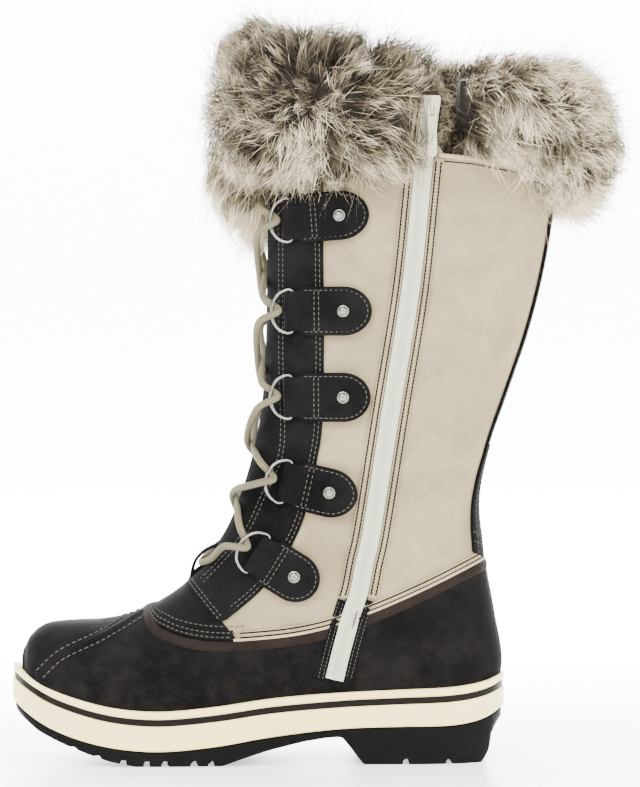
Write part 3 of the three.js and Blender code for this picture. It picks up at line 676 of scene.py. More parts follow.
class Nodes:
    """Adds nodes to a node tree; a value that is a socket is joined, any other is set."""

    def __init__(self, tree):
        self.tree = tree

    def add(self, kind, values=None, **settings):
        node = self.tree.nodes.new("ShaderNode" + kind)
        for key, value in settings.items():
            setattr(node, key, value)
        for key, value in (values or {}).items():
            if isinstance(value, bpy.types.NodeSocket):
                self.tree.links.new(value, node.inputs[key])
            else:
                node.inputs[key].default_value = value
        return node

    def math(self, operation, a, b=0.0):
        return self.add("Math", {0: a, 1: b}, operation=operation).outputs[0]

    def noise(self, vector, scale, detail=3.0, rough=0.55, warp=0.0):
        return self.add("TexNoise", {
            "Vector": vector, "Scale": scale, "Detail": detail, "Roughness": rough, "Distortion": warp,
        }).outputs[0]

    def span(self, value, low, high, to_low=0.0, to_high=1.0):
        return self.add("MapRange", {
            "Value": value, "From Min": low, "From Max": high, "To Min": to_low, "To Max": to_high,
        }, interpolation_type="SMOOTHSTEP").outputs[0]

    def mix(self, factor, a, b):
        return self.add("Mix", {0: factor, 6: a, 7: b}, data_type="RGBA").outputs[2]


def group(name, inputs, outputs):
    """A new node group with named inputs (name: default) and outputs (name: kind)."""
    tree = bpy.data.node_groups.new(name, "ShaderNodeTree")
    for label, default in inputs.items():
        kind = "NodeSocketVector" if default is None else "NodeSocketFloat"
        socket = tree.interface.new_socket(label, in_out="INPUT", socket_type=kind)
        if default is not None:
            socket.default_value = default
    for label in outputs:
        tree.interface.new_socket(label, in_out="OUTPUT", socket_type="NodeSocketFloat")
    nodes = Nodes(tree)
    given = tree.nodes.new("NodeGroupInput").outputs
    taken = tree.nodes.new("NodeGroupOutput").inputs
    return tree, nodes, given, taken


def leather_grain():
    """Fine pores and wrinkles (Height) and soft cloudy patches (Mottle)."""
    tree, n, given, taken = group(
        "Leather grain", {"Vector": None, "Size": 900.0}, ["Height", "Mottle"])
    pores = n.add("TexVoronoi", {"Vector": given["Vector"], "Scale": given["Size"]}).outputs["Distance"]
    fine = n.noise(given["Vector"], n.math("MULTIPLY", given["Size"], 1.9), 4.0, 0.6)
    wrinkle = n.noise(given["Vector"], n.math("MULTIPLY", given["Size"], 0.16), 5.0, 0.62, 0.8)
    height = n.math("ADD", n.math("MULTIPLY", pores, 0.35), n.math("MULTIPLY", fine, 0.4))
    height = n.math("ADD", height, n.math("MULTIPLY", wrinkle, 0.7))
    cloud = n.noise(given["Vector"], n.math("MULTIPLY", given["Size"], 0.03), 5.0, 0.62, 0.5)
    n.tree.links.new(height, taken["Height"])
    n.tree.links.new(n.span(cloud, 0.33, 0.67), taken["Mottle"])
    return tree


def scuffs():
    """Thin rubbed marks, longer than they are wide, gathered in patches."""
    tree, n, given, taken = group("Scuffs", {"Vector": None, "Size": 60.0, "Amount": 0.5}, ["Mask"])
    turned = n.add("Mapping", {
        "Vector": given["Vector"], "Rotation": (0.2, 0.5, 0.1), "Scale": (0.35, 1.0, 1.7),
    })
    marks = n.noise(turned.outputs[0], n.math("MULTIPLY", given["Size"], 6.0), 8.0, 0.72, 1.2)
    places = n.noise(given["Vector"], given["Size"], 3.0, 0.5, 0.3)
    low = n.math("SUBTRACT", 0.66, n.math("MULTIPLY", given["Amount"], 0.14))
    mask = n.math("MULTIPLY", n.span(marks, 0.56, 0.68), n.span(places, low, 0.7))
    n.tree.links.new(mask, taken["Mask"])
    return tree


def floor_dust():
    """Dust that thins out with height over the floor and lies in patches."""
    tree, n, given, taken = group("Floor dust", {"Vector": None, "Height": 0.03}, ["Mask"])
    z = n.add("SeparateXYZ", {"Vector": given["Vector"]}).outputs[2]
    fade = n.math("SUBTRACT", 1.0, n.math("DIVIDE", z, given["Height"]))
    patch = n.span(n.noise(given["Vector"], 90.0, 6.0, 0.68), 0.4, 0.72)
    n.tree.links.new(n.math("MULTIPLY", n.span(fade, 0.0, 1.0), patch), taken["Mask"])
    return tree


def woven():
    """Crossed threads over map coordinates in metres, where one and two are |sin| of the sum
    and of the difference of u and v: the larger (Height) and their product (Shade), which is
    low in the grooves between the threads and serves as painted shade there."""
    tree, n, given, taken = group(
        "Woven threads", {"Vector": None, "Thread": 0.0007}, ["Height", "Shade"])
    parts = n.add("SeparateXYZ", {"Vector": given["Vector"]}).outputs
    u = n.math("MULTIPLY", n.math("DIVIDE", parts[0], given["Thread"]), np.pi)
    v = n.math("MULTIPLY", n.math("DIVIDE", parts[1], given["Thread"]), np.pi)
    one = n.math("ABSOLUTE", n.math("SINE", n.math("ADD", u, v)))
    two = n.math("ABSOLUTE", n.math("SINE", n.math("SUBTRACT", u, v)))
    n.tree.links.new(n.math("MULTIPLY", one, two), taken["Shade"])
    n.tree.links.new(n.math("MAXIMUM", one, two), taken["Height"])
    return tree


def use(nodes, name, vector, **values):
    """A node group in a material, fed with a vector and named values."""
    if name not in bpy.data.node_groups:
        GROUPS[name]()
    node = nodes.tree.nodes.new("ShaderNodeGroup")
    node.node_tree = bpy.data.node_groups[name]
    nodes.tree.links.new(vector, node.inputs["Vector"])
    for key, value in values.items():
        node.inputs[key].default_value = value
    return node.outputs


GROUPS = {
    "Leather grain": leather_grain, "Scuffs": scuffs, "Floor dust": floor_dust, "Woven threads": woven,
}


def blank(name):
    """A new material: its nodes, its main shader and its object coordinates."""
    material = bpy.data.materials.new(name)
    material.use_nodes = True
    nodes = Nodes(material.node_tree)
    shader = material.node_tree.nodes["Principled BSDF"]
    return material, nodes, shader, nodes.add("TexCoord").outputs["Object"]


def shade(value, factor):
    """A colour made darker or lighter."""
    return tuple(min(part * factor, 1.0) for part in value[:3]) + (1.0,)


def feed(nodes, shader, base, rough, height=None, strength=0.2, distance=0.4 * MM):
    """Joins colour, roughness and bump to the main shader."""
    nodes.tree.links.new(base, shader.inputs["Base Color"])
    if isinstance(rough, bpy.types.NodeSocket):
        nodes.tree.links.new(rough, shader.inputs["Roughness"])
    else:
        shader.inputs["Roughness"].default_value = rough
    if height is not None:
        rise = nodes.add("Bump", {"Height": height, "Strength": strength, "Distance": distance})
        nodes.tree.links.new(rise.outputs[0], shader.inputs["Normal"])


def leather(name, tint, low, high, rough, size, strength, scuff, scuff_to=1.9, dust=0.0, shine=0.04):
    """Nubuck: cloudy patches between a darker and a lighter shade, pores, scuffs and dust."""
    material, n, shader, where = blank(name)
    grain = use(n, "Leather grain", where, Size=size)
    rubbed = use(n, "Scuffs", where, Size=45.0, Amount=scuff)
    nap = n.span(n.noise(where, 420.0, 3.0, 0.7), 0.3, 0.7)
    base = n.mix(grain["Mottle"], shade(tint, low), shade(tint, high))
    base = n.mix(n.math("MULTIPLY", nap, 0.22), base, shade(tint, high * 1.25))
    base = n.mix(n.math("MULTIPLY", rubbed["Mask"], 0.55), base, shade(tint, scuff_to))
    if dust:
        low_dust = use(n, "Floor dust", where, Height=0.12)
        base = n.mix(n.math("MULTIPLY", low_dust["Mask"], dust), base, srgb("#4a453d"))
    gloss = n.span(grain["Mottle"], 0.0, 1.0, rough - 0.06, rough + 0.08)
    feed(n, shader, base, gloss, grain["Height"], strength)
    shader.inputs["Specular IOR Level"].default_value = shine
    return material


def rubber(name, tint, rough, dust, dust_height, speckle, scuff_to, shine=0.3):
    """Moulded rubber: faint patches, rubbed marks, speckled sheen and dust near the floor."""
    material, n, shader, where = blank(name)
    grain = use(n, "Leather grain", where, Size=500.0)
    rubbed = use(n, "Scuffs", where, Size=38.0, Amount=0.35)
    dirty = use(n, "Floor dust", where, Height=dust_height)
    base = n.mix(n.math("MULTIPLY", grain["Mottle"], speckle), tint, srgb("#e9d09a"))
    base = n.mix(n.math("MULTIPLY", rubbed["Mask"], 0.4), base, shade(tint, scuff_to))
    base = n.mix(n.math("MULTIPLY", dirty["Mask"], dust), base, srgb("#4c4740"))
    gloss = n.span(n.noise(where, 260.0, 5.0, 0.6), 0.3, 0.7, rough - 0.08, rough + 0.1)
    feed(n, shader, base, gloss, grain["Height"], 0.12)
    shader.inputs["Specular IOR Level"].default_value = shine
    return material


def textile(name, tint, thread=0.7 * MM, low=0.72, strength=0.5, rough=0.85, patches=0.12):
    """Woven or braided cloth read from the piece's map coordinates in metres, darker in the grooves
    between threads as painted shade.
    """
    material, n, shader, where = blank(name)
    spread = n.add("UVMap").outputs[0]
    weave = use(n, "Woven threads", spread, Thread=thread)
    # painted shade: the colour goes darker where the weave's Shade is low, in the grooves between
    # threads
    base = n.mix(n.span(weave["Shade"], 0.0, 0.75), shade(tint, low), tint)
    soiled = n.span(n.noise(where, 70.0, 6.0, 0.66), 0.42, 0.72)
    base = n.mix(n.math("MULTIPLY", soiled, patches), base, shade(tint, 0.55))
    fuzz = n.math("ADD", weave["Height"], n.math("MULTIPLY", n.noise(where, 2600.0, 2.0), 0.5))
    feed(n, shader, base, rough, fuzz, strength, 0.3 * MM)
    shader.inputs["Specular IOR Level"].default_value = 0.2
    return material


def metal(name, tint):
    """Plated metal: brushed sheen, small dents and dull spots."""
    material, n, shader, where = blank(name)
    dull = n.span(n.noise(where, 380.0, 6.0, 0.65), 0.42, 0.7)
    base = n.mix(n.math("MULTIPLY", dull, 0.5), tint, shade(tint, 0.55))
    gloss = n.span(n.noise(where, 900.0, 4.0, 0.6), 0.3, 0.7, 0.28 - 0.08, 0.28 + 0.14)
    feed(n, shader, base, gloss, n.noise(where, 700.0, 3.0), 0.12, 0.2 * MM)
    shader.inputs["Metallic"].default_value = 1.0
    return material


def hair(name):
    """Fur: from root to tip along u, with each hair lighter or darker by v, which also carries painted
    shadow beside the zip's parting.
    """
    material, n, shader, where = blank(name)
    tint = colours()
    parts = n.add("SeparateXYZ", {"Vector": n.add("UVMap").outputs[0]}).outputs
    patch = n.noise(where, 30.0, 3.0, 0.6, 0.6)
    along = n.math("ADD", parts[0], n.math("MULTIPLY", n.math("SUBTRACT", parts[1], 0.5), 0.7))
    along = n.math("ADD", along, n.math("MULTIPLY", n.math("SUBTRACT", patch, 0.51), 1.25))
    base = n.mix(n.span(along, 0.12, 0.62), tuple(tint.fur_root), tuple(tint.fur_middle))
    base = n.mix(n.span(along, 0.55, 1.05), base, tuple(tint.fur_tip))
    feed(n, shader, base, n.span(parts[1], 0.0, 1.0, 0.5, 0.72))
    shader.inputs["Specular IOR Level"].default_value = 0.2
    return material


def fleece(name, tint):
    """Short curly pile: small round tufts, lighter at their middles, with painted shade in the gaps
    between them.
    """
    material, n, shader, where = blank(name)
    tufts = n.add("TexVoronoi", {"Vector": where, "Scale": 480.0}).outputs["Distance"]
    curl = n.noise(where, 900.0, 4.0, 0.65, 1.0)
    # painted shade: each tuft is lighter at its middle and darker in the gaps between tufts
    base = n.mix(n.span(tufts, 0.1, 0.7), shade(tint, 1.15), shade(tint, 0.5))
    height = n.math("SUBTRACT", n.math("MULTIPLY", curl, 0.6), tufts)
    feed(n, shader, base, 0.95, height, 0.8, 1.2 * MM)
    shader.inputs["Specular IOR Level"].default_value = 0.1
    return material


def material(name):
    """The material of that name, made when it is first asked for."""
    if name not in bpy.data.materials:
        tint = {key: tuple(getattr(colours(), key)) for key in BootColours.__annotations__}
        recipes = {
            "Outsole rubber": lambda n: rubber(
                n, tint["outsole"], 0.62, 0.03, 0.016, 0.0, 2.2, shine=0.06),
            "Midsole rubber": lambda n: rubber(n, tint["midsole"], 0.5, 0.06, 0.045, 0.4, 0.72),
            "Stripe rubber": lambda n: rubber(n, tint["stripe"], 0.5, 0.0, 0.03, 0.0, 1.8, shine=0.08),
            "Taupe nubuck": lambda n: leather(
                n, tint["shaft"], 0.8, 1.12, 0.85, 1300.0, 0.22, 0.25, 0.78, shine=0.15),
            "Charcoal nubuck": lambda n: leather(
                n, tint["charcoal"], 0.42, 1.9, 0.78, 1000.0, 0.4, 0.5, 3.2, dust=0.1),
            "Tongue leather": lambda n: leather(n, tint["tongue"], 0.8, 1.25, 0.8, 900.0, 0.4, 0.2),
            "Binding leather": lambda n: leather(
                n, tint["binding"], 0.75, 1.2, 0.72, 1400.0, 0.4, 0.5, 1.6),
            "Piping leather": lambda n: leather(
                n, tint["piping"], 0.85, 1.08, 0.8, 1500.0, 0.3, 0.3, 0.7),
            "Stay leather": lambda n: leather(n, tint["stay"], 0.8, 1.3, 0.7, 1200.0, 0.4, 0.4, 2.2),
            "Insole felt": lambda n: fleece(n, tint["insole"]),
            "Lining fleece": lambda n: fleece(n, tint["lining"]),
            "Zip tape": lambda n: textile(n, tint["zip"], 0.7 * MM, 0.86, 0.35, 0.75, 0.06),
            "Zip enamel": lambda n: rubber(n, tint["zip"], 0.35, 0.0, 0.03, 0.2, 0.6),
            "Lace braid": lambda n: textile(n, tint["lace"], 0.95 * MM, 0.55, 0.7),
            "Pale thread": lambda n: textile(n, tint["pale_thread"], 0.35 * MM, 0.7),
            "Dark thread": lambda n: textile(n, tint["dark_thread"], 0.35 * MM, 0.7),
            "White thread": lambda n: textile(n, shade(tint["zip"], 0.86), 0.35 * MM, 0.7),
            "Nickel": lambda n: metal(n, tint["nickel"]),
            "Fur": hair,
        }
        recipes[name](name)
    return bpy.data.materials[name]


# ---- sole -------------------------------------------------------------------------------


EDGE_POINTS = 560
SPINE_X = np.array([-18, 200]) * MM  # how far the spine of a plate reaches
SPINE = np.array([(0, 0), (100, -3), (160, 1), (210, 8)]) * MM  # its line, x y
PLATE_RIM = 12 * MM  # how far in from the edge a plate's rounded rim reaches


def edge_of_sole(marks=()):
    """Points round the sole's edge and the way in from it, with extra ones at the marks."""
    path = even(spline(SOLE_OUTLINE, True, 60), count=EDGE_POINTS, closed=True)
    x, after = path[:, 0], np.roll(path[:, 0], -1)
    spots = [np.arange(len(path), dtype=float)]
    for mark in marks:
        cross = np.nonzero((x - mark) * (after - mark) < 0)[0]
        spots.append(cross + (mark - x[cross]) / (after[cross] - x[cross]))
    spots = np.sort(np.concatenate(spots))
    i = spots.astype(int)
    part = (spots - i)[:, None]
    path = path[i] * (1 - part) + path[(i + 1) % len(path)] * part
    way = slopes(path, True)
    return path, np.stack([way[:, 1], -way[:, 0]], -1)


def rim(radius, inside):
    """Profile of a plate's edge as (inset, level, lift): along the foot (level 0), a quarter
    round, up, a quarter round, and back along the top (level 1)."""
    turn = np.linspace(0, np.pi / 2, 5)
    foot = np.stack([radius * (1 - np.sin(turn)), turn * 0, radius * (1 - np.cos(turn))], -1)
    top = np.stack([radius * (1 - np.cos(turn)), turn * 0 + 1, -radius * (1 - np.sin(turn))], -1)
    half_way = [[0, 0.5, 0]]
    return np.concatenate([[[inside, 0, 0]], foot, half_way, top, [[inside, 1, 0]]])


def plate(shape, edge, inward, profile, foot, top, inset=0.0, spine=False):
    """Rows go round the sole's edge, columns along the profile. With a spine the two sheets
    are drawn in from the profile's ends to a line down the middle of the sole."""
    flat = edge[:, None] + inward[:, None] * (profile[None, :, :1] + inset)
    level, lift = np.broadcast_arrays(profile[None, :, 1], flat[..., 0])[0], profile[None, :, 2]
    if spine:
        x = np.clip(edge[:, 0], *SPINE_X)
        line = np.stack([x, np.interp(x, *SPINE.T)], -1)
        share = np.array([1.0, 0.75, 0.5, 0.25])
        first = flat[:, :1] + (line[:, None] - flat[:, :1]) * share[:, None]
        final = flat[:, -1:] + (line[:, None] - flat[:, -1:]) * share[::-1, None]
        flat = np.concatenate([first, flat, final], 1)
        level = np.concatenate([level[:, :1].repeat(4, 1), level, level[:, -1:].repeat(4, 1)], 1)
        lift = np.pad(lift, ((0, 0), (4, 4)))
    z = foot(flat) * (1 - level) + top(flat) * level + lift
    shape.grid(np.concatenate([flat, z[..., None]], -1), wrap=(True, not spine))
    return shape


class BOOT_OT_outsole(bpy.types.Operator):
    """Black outsole: its edge swept round the sole, its foot following the tread's height,
    less the depth of a groove with steep sides at each gap between lugs."""

    bl_idname, bl_label = "boot.outsole", "Outsole"

    def execute(self, context):
        wide, steep = 1.5 * MM, 0.25 * MM
        marks = (GROOVES[:, :1] + np.array([-wide - steep, -wide, wide, wide + steep])).ravel()
        tread = curve(*TREAD.T)

        def foot(flat):
            x = flat[..., 0]
            z = np.interp(x, *TREAD.T) * 0.7 + tread(x) * 0.3
            gap = np.abs(x[..., None] - GROOVES[:, 0])
            deep = np.maximum(GROOVES[:, 1] - z[..., None], 0.8 * MM)
            dip = deep * (1 - smoothstep(gap, wide, wide + steep))
            return np.maximum(z + dip.max(-1), 0)

        top = lambda flat: plate_foot(flat[..., 0]) - GAP
        edge, inward = edge_of_sole(marks)
        shape = plate(Shape(), edge, inward, rim(1.1 * MM, PLATE_RIM), foot, top, 1.6 * MM, True)
        settle(shape, "outsole_rubber", "Outsole rubber", "outsole", ["outsole"], sharp=0.7)
        return {"FINISHED"}


class BOOT_OT_midsole(bpy.types.Operator):
    """Cream midsole, dark line and cream welt: rounded bands that follow the sole's edge."""

    bl_idname, bl_label = "boot.midsole", "Midsole, stripe and welt"

    def execute(self, context):
        edge, inward = edge_of_sole()
        foot, top = (lambda flat: plate_foot(flat[..., 0])), (lambda flat: plate_top(flat[..., 0]))
        shape = plate(Shape(), edge, inward, rim(1.5 * MM, PLATE_RIM), foot, top, 0, True)
        settle(shape, "midsole_rubber", "Midsole rubber", "midsole", ["midsole"], sharp=0.9)

        reach = (5.2 + 3.4 * smoothstep(edge[:, 0], 0.19, 0.215)) * MM
        for name, node, slot, look, inset, low, high, round_by in (
            ("sole_stripe", "foxing_stripe", "stripe", "Stripe rubber", 0.9, 0.0, 3.7, 0.5),
            ("sole_welt", "welt", "midsole", "Midsole rubber", 0.1, 3.6, 8.1, 1.7),
        ):
            base = rim(round_by * MM, 1.0)
            profile = base[None] * np.ones((len(edge), 1, 1))
            profile[:, [0, -1], 0] = reach[:, None] - inset * MM
            flat = edge[:, None] + inward[:, None] * (profile[..., :1] + inset * MM)
            z = plate_top(flat[..., 0]) + (low + (high - low) * profile[..., 1]) * MM + profile[..., 2]
            shape = Shape().grid(np.concatenate([flat, z[..., None]], -1), wrap=(True, True))
            settle(shape, name, look, slot, [node], sharp=0.9)
        return {"FINISHED"}


# ---- upper, vamp and tongue -------------------------------------------------------------

# Soft creases of the shaft: side-view line from front to back, depth in parts, width.
CREASES = (
    (((104, 150), (70, 140), (30, 138), (-10, 146)), 1.0, 6.0),
    (((100, 166), (60, 160), (20, 160), (-25, 172)), 0.7, 7.0),
    (((112, 128), (84, 116), (50, 113), (10, 120)), 0.8, 6.0),
    (((60, 196), (20, 192), (-20, 204)), 0.45, 9.0),
    (((50, 268), (10, 258), (-40, 270)), 0.35, 12.0),
)


def sewn(shape, path, out):
    """Adds a row of stitches of the usual size."""
    stitch_row(shape, path, out, sizes().pitch, sizes().stitch, sizes().thread)


def near(points, path):
    """Distance of each point to the nearest point of a path."""
    flat = points.reshape(-1, 3)
    least = np.full(len(flat), 1e9)
    for start in range(0, len(path), 40):
        gaps = np.linalg.norm(flat[:, None] - path[None, start:start + 40], axis=-1)
        least = np.minimum(least, gaps.min(1))
    return least.reshape(points.shape[:-1])


def crease_depth(points):
    """How deep the surface is pressed in by the creases: hills exp(-(d / w)^2) round each
    line, that fade to nothing at the line's ends, with a low roll beside each."""
    depth = np.zeros(points.shape[:-1])
    for line, part, width in CREASES:
        for side in (1, -1):
            flat = even(spline(np.array(line) * MM, per=20), step=3 * MM)
            if side < 0:
                flat = flat + np.array([3, 4]) * MM
            at, turn = side_view(flat[:, 0], flat[:, 1], side)
            away = near(points, skin(at, turn))
            ends = smoothstep(points[..., 0], flat[-1, 0], flat[-1, 0] + 0.02)
            ends = ends * (1 - smoothstep(points[..., 0], flat[0, 0] - 0.02, flat[0, 0] + 0.004))
            fold = bump(away, 0, width * MM) - 0.45 * bump(away, 1.7 * width * MM, 0.8 * width * MM)
            depth += part * fold * ends
    return depth * sizes().crease


def set_down(points, lift):
    """Raises the points that are lower than lift over the midsole, and says which were not."""
    floor = plate_top(points[..., 0]) + lift
    above = points[..., 2] > floor
    points[..., 2] = np.maximum(points[..., 2], floor)
    return above


class BOOT_OT_upper(bpy.types.Operator):
    """Taupe upper over the last from toe to top line, open at the throat, creased softly at
    the ankle; its thickness goes inwards to a fleece lining."""

    bl_idname, bl_label = "boot.upper", "Upper"

    def execute(self, context):
        share = np.linspace(0, 1, 130)[None]
        rows = np.linspace(0, 1, 156)[:, None]

        def turn(at):
            opening = smoothstep(at, 6.5, 7.1)
            from_inner = turn_at(at, THROAT_HALF) * opening
            from_outer = -turn_at(at, -THROAT_HALF) * opening
            return from_inner + (2 * np.pi - from_inner - from_outer) * share[0]

        start, end = (np.full(share.shape[1], float(k)) for k in (ANKLE, ENDS))
        top, _, _ = halving(start, end, 26, lambda at: below(top_line, skin(at, turn(at))))
        at = -1 + (top[None] + 1) * rows
        angle = turn(at)
        points = skin(at, angle)
        points = points - last_normal(np.maximum(at, 0), angle) * crease_depth(points)[..., None]
        shape = Shape().grid(points, keep=set_down(points, 0.4 * MM))
        settle(shape, "upper_leather", "Taupe nubuck", "shaft", ["upper"],
               thick=WALL, bevel=0.5 * MM, lining="Lining fleece", away=INSIDE)
        return {"FINISHED"}


VAMP_REAR = np.array([(98, 60), (112, 77), (130, 99.5), (146, 124)]) * MM  # side-view line
KEEPER = np.array([  # the lace keeper's middle line: height, distance off the last
    (102, -0.9), (103.5, 0.4), (106, 2.6), (109, 4.2), (112.5, 4.4), (116, 3.4), (119, 1.4),
    (122, -0.9),
]) * MM


class BOOT_OT_vamp(bpy.types.Operator):
    """Charcoal vamp between the shell and the facings, and a keeper loop that holds the
    middle of the lace."""

    bl_idname, bl_label = "boot.vamp", "Vamp and lace keeper"

    def execute(self, context):
        rear = curve(*VAMP_REAR.T)
        turn = np.linspace(-1.25, 1.25, 90)
        low = meets(lambda x: shell_line(x) - 1.5 * MM, turn)
        high = np.maximum(meets(rear, turn), low)
        rows = np.linspace(0, 1, 34)[:, None]
        at = low + (high - low) * rows
        edge = np.minimum(rows * (high - low) * 14, 1)
        points = skin(at, np.broadcast_to(turn, at.shape), (0.25 + 0.75 * smoothstep(edge, 0, 1)) * MM)
        shape = Shape().grid(points)
        settle(shape, "vamp_leather", "Charcoal nubuck", "charcoal", thick=0.8 * MM, bevel=0.2 * MM,
               away=(0.1, 0, 0.02))

        z, lift = KEEPER.T
        path = spline(skin(at_height(z, 4, 16), 0.0, lift), per=8)
        loop = lying(5.5 * MM, 1.9 * MM, 4, 12)
        out = unit(np.cross(slopes(path), np.array([0, -1.0, 0])))
        shape = strip(Shape(), path, out, loop)
        settle(shape, "lace_keeper", "Charcoal nubuck", "charcoal", sharp=0.9)
        return {"FINISHED"}


class BOOT_OT_tongue(bpy.types.Operator):
    """Padded tongue under the throat: a patch of the last sunk below the facings, with a
    soft cushion that rises towards its middle and three shallow folds."""

    bl_idname, bl_label = "boot.tongue", "Tongue"

    def execute(self, context):
        at = np.linspace(7.0, 20.6, 120)[:, None]
        across = np.linspace(-1, 1, 34)[None]
        turn = turn_at(at, across * TONGUE_HALF * MM)
        cushion = 1.5 * (1 - across**2) + 0.25 * np.sin(at * 5.2) * (1 - across**2)
        folds = 0.8 * (bump(at, 11.4, 0.16) + bump(at, 10.3, 0.14) + 0.7 * bump(at, 12.7, 0.18))
        under_lace = 3.8 * bump(front_z(at), 106.5 * MM, 5 * MM) * bump(across, 0, 0.3)
        sunk = -2.8 + cushion - folds + under_lace
        points = skin(at, turn, sunk * MM)
        shape = Shape().grid(points)
        settle(shape, "tongue_leather", "Tongue leather", "tongue", ["tongue"],
               thick=2.6 * MM, bevel=0.6 * MM, away=(0.0, 0, 0.1))
        return {"FINISHED"}


# ---- foot shell, binding and trims ------------------------------------------------------

MOC_SEAM = np.array([(160, 82.5), (182, 70.5), (205, 60), (216, 50)]) * MM


class BOOT_OT_shell(bpy.types.Operator):
    """Charcoal foot shell over toe and heel, with a raised moc seam on both sides of the toe:
    off the last by a + b * exp(-(distance to the seam / width)^2) less the stitch troughs."""

    bl_idname, bl_label = "boot.shell", "Foot shell"

    def execute(self, context):
        turn = np.linspace(0, 2 * np.pi, 221)
        top = meets(lambda x: shell_line(x) - 2.4 * MM, turn)
        at = -1 + (top + 1) * np.linspace(0, 1, 180)[:, None] ** 0.9
        angle = np.broadcast_to(turn, at.shape)
        base = skin(at, angle, 2 * MM)
        lift = np.zeros(at.shape)
        seam_line = even(spline(MOC_SEAM, per=20), step=1.5 * MM)
        for side in (1, -1):
            path, _ = seam(seam_line, side, 2 * MM)
            away = near(base, path)
            lift += 1.0 * bump(away, 0, 2.4 * MM) - 0.25 * bump(away, 4.2 * MM, 1.5 * MM)
        x, y, z = (base[..., k] for k in range(3))
        waves = np.sin(x * 95 + 2 * np.sin(z * 60)) * np.sin(z * 110 + y * 30)
        lift += 0.12 * waves
        points = skin(at, angle, (2 + lift) * MM)
        shape = Shape().grid(points, keep=set_down(points, 1.0 * MM))
        settle(shape, "shell_leather", "Charcoal nubuck", "charcoal", ["shell"],
               away=(0.08, 0, 0.03))

        shape = Shape()
        for side in (1, -1):
            for push in (-2.6, 2.6):
                path, out = seam(beside(seam_line, push * MM), side, 2.25 * MM)
                size = sizes()
                stitch_row(shape, path, out, size.pitch * 1.25, size.stitch * 1.25, size.thread * 1.1)
        settle(shape, "moc_stitches", "Pale thread", "charcoal")
        return {"FINISHED"}


def around(line, start, end, steps, out):
    """A path on the last that follows a side-view line from one turn to another."""
    turn = np.linspace(start, end, steps)
    at = meets(line, turn)
    return skin(at, turn, out), last_normal(at, turn)


def turn_on(line, x, side):
    """The turn at which a side-view line passes x on one side."""
    return float(side_view(x, line(x), side)[1])


class BOOT_OT_binding(bpy.types.Operator):
    """Brown rolled binding round the shell's top, broken at the zip, with a light piping and
    a stitched taupe welt above it between the facings and the heel tab."""

    bl_idname, bl_label = "boot.binding", "Binding and piping"

    def execute(self, context):
        middle_line = lambda x: shell_line(x) - 2.9 * MM
        start, end = (turn_on(middle_line, x * MM, 1) for x in (36.6, 47.6))
        path, out = around(middle_line, start, end + 2 * np.pi, 420, 0.2 * MM)
        loop = lying(3.3 * MM, sizes().binding, 2.6, 13)
        shape = strip(Shape(), path, out, loop)
        settle(shape, "binding_roll", "Binding leather", "binding", ["binding"], sharp=1.0)

        taupe, thread, pipe = Shape(), Shape(), Shape()
        for side, x_from, x_to in ((1, 109, 48.6), (1, 35.6, -34), (-1, 109, -34)):
            a, b = (turn_on(shell_line, x * MM, side) for x in (x_from, x_to))
            steps = max(int(abs(x_from - x_to) * 1.1), 20)
            path, out = around(lambda x: shell_line(x) + 3.4 * MM, a, b, steps, 0.1 * MM)
            strip(taupe, path, out, lying(2.7 * MM, 1.25 * MM, 3.5, 12))
            for push, lift in ((-1.1, 1.2), (1.35, 1.2)):
                side_way = unit(np.cross(slopes(path), out))
                row = path + side_way * push * MM
                stitch_row(thread, row, out, 2.2 * MM, 1.7 * MM, 0.34 * MM, lift * MM)
                # a painted shadow line under each row of stitches
                painted_shadow_line(thread, row, out, 0.45 * MM, (lift + 0.06) * MM)
            path, out = around(lambda x: shell_line(x) + 0.7 * MM, a, b, steps, 1.2 * MM)
            strip(pipe, path, out, ring(0.95 * MM, 8))
        settle(taupe, "welt_strip", "Taupe nubuck", "shaft", sharp=1.0)
        settle(thread, "welt_stitches", "Dark thread", "shaft")
        settle(pipe, "piping", "Piping leather", "shaft", sharp=1.0)

        rows, dark_strip = Shape(), Shape()
        a, b = (turn_on(shell_line, 113 * MM, side) for side in (-1, 1))
        path, out = around(lambda x: shell_line(x) + 3.4 * MM, a, b, 110, 0.9 * MM)
        strip(dark_strip, path, out, lying(2.9 * MM, 1.1 * MM, 3.5, 12))
        for lift, out_by in ((2.2, 2.05), (4.7, 2.05), (8.4, 1.05)):
            path, out = around(lambda x: shell_line(x) + lift * MM, a, b, 110, out_by * MM)
            sewn(rows, path, out)
        settle(dark_strip, "vamp_strip", "Charcoal nubuck", "charcoal", sharp=1.0)
        settle(rows, "vamp_stitches", "Pale thread", "charcoal")
        return {"FINISHED"}


FACING_STITCH = np.array([
    (81.5, 335), (81.5, 230), (81.5, 176), (86, 163), (92, 150), (101, 131), (116, 113), (127, 101.5),
]) * MM


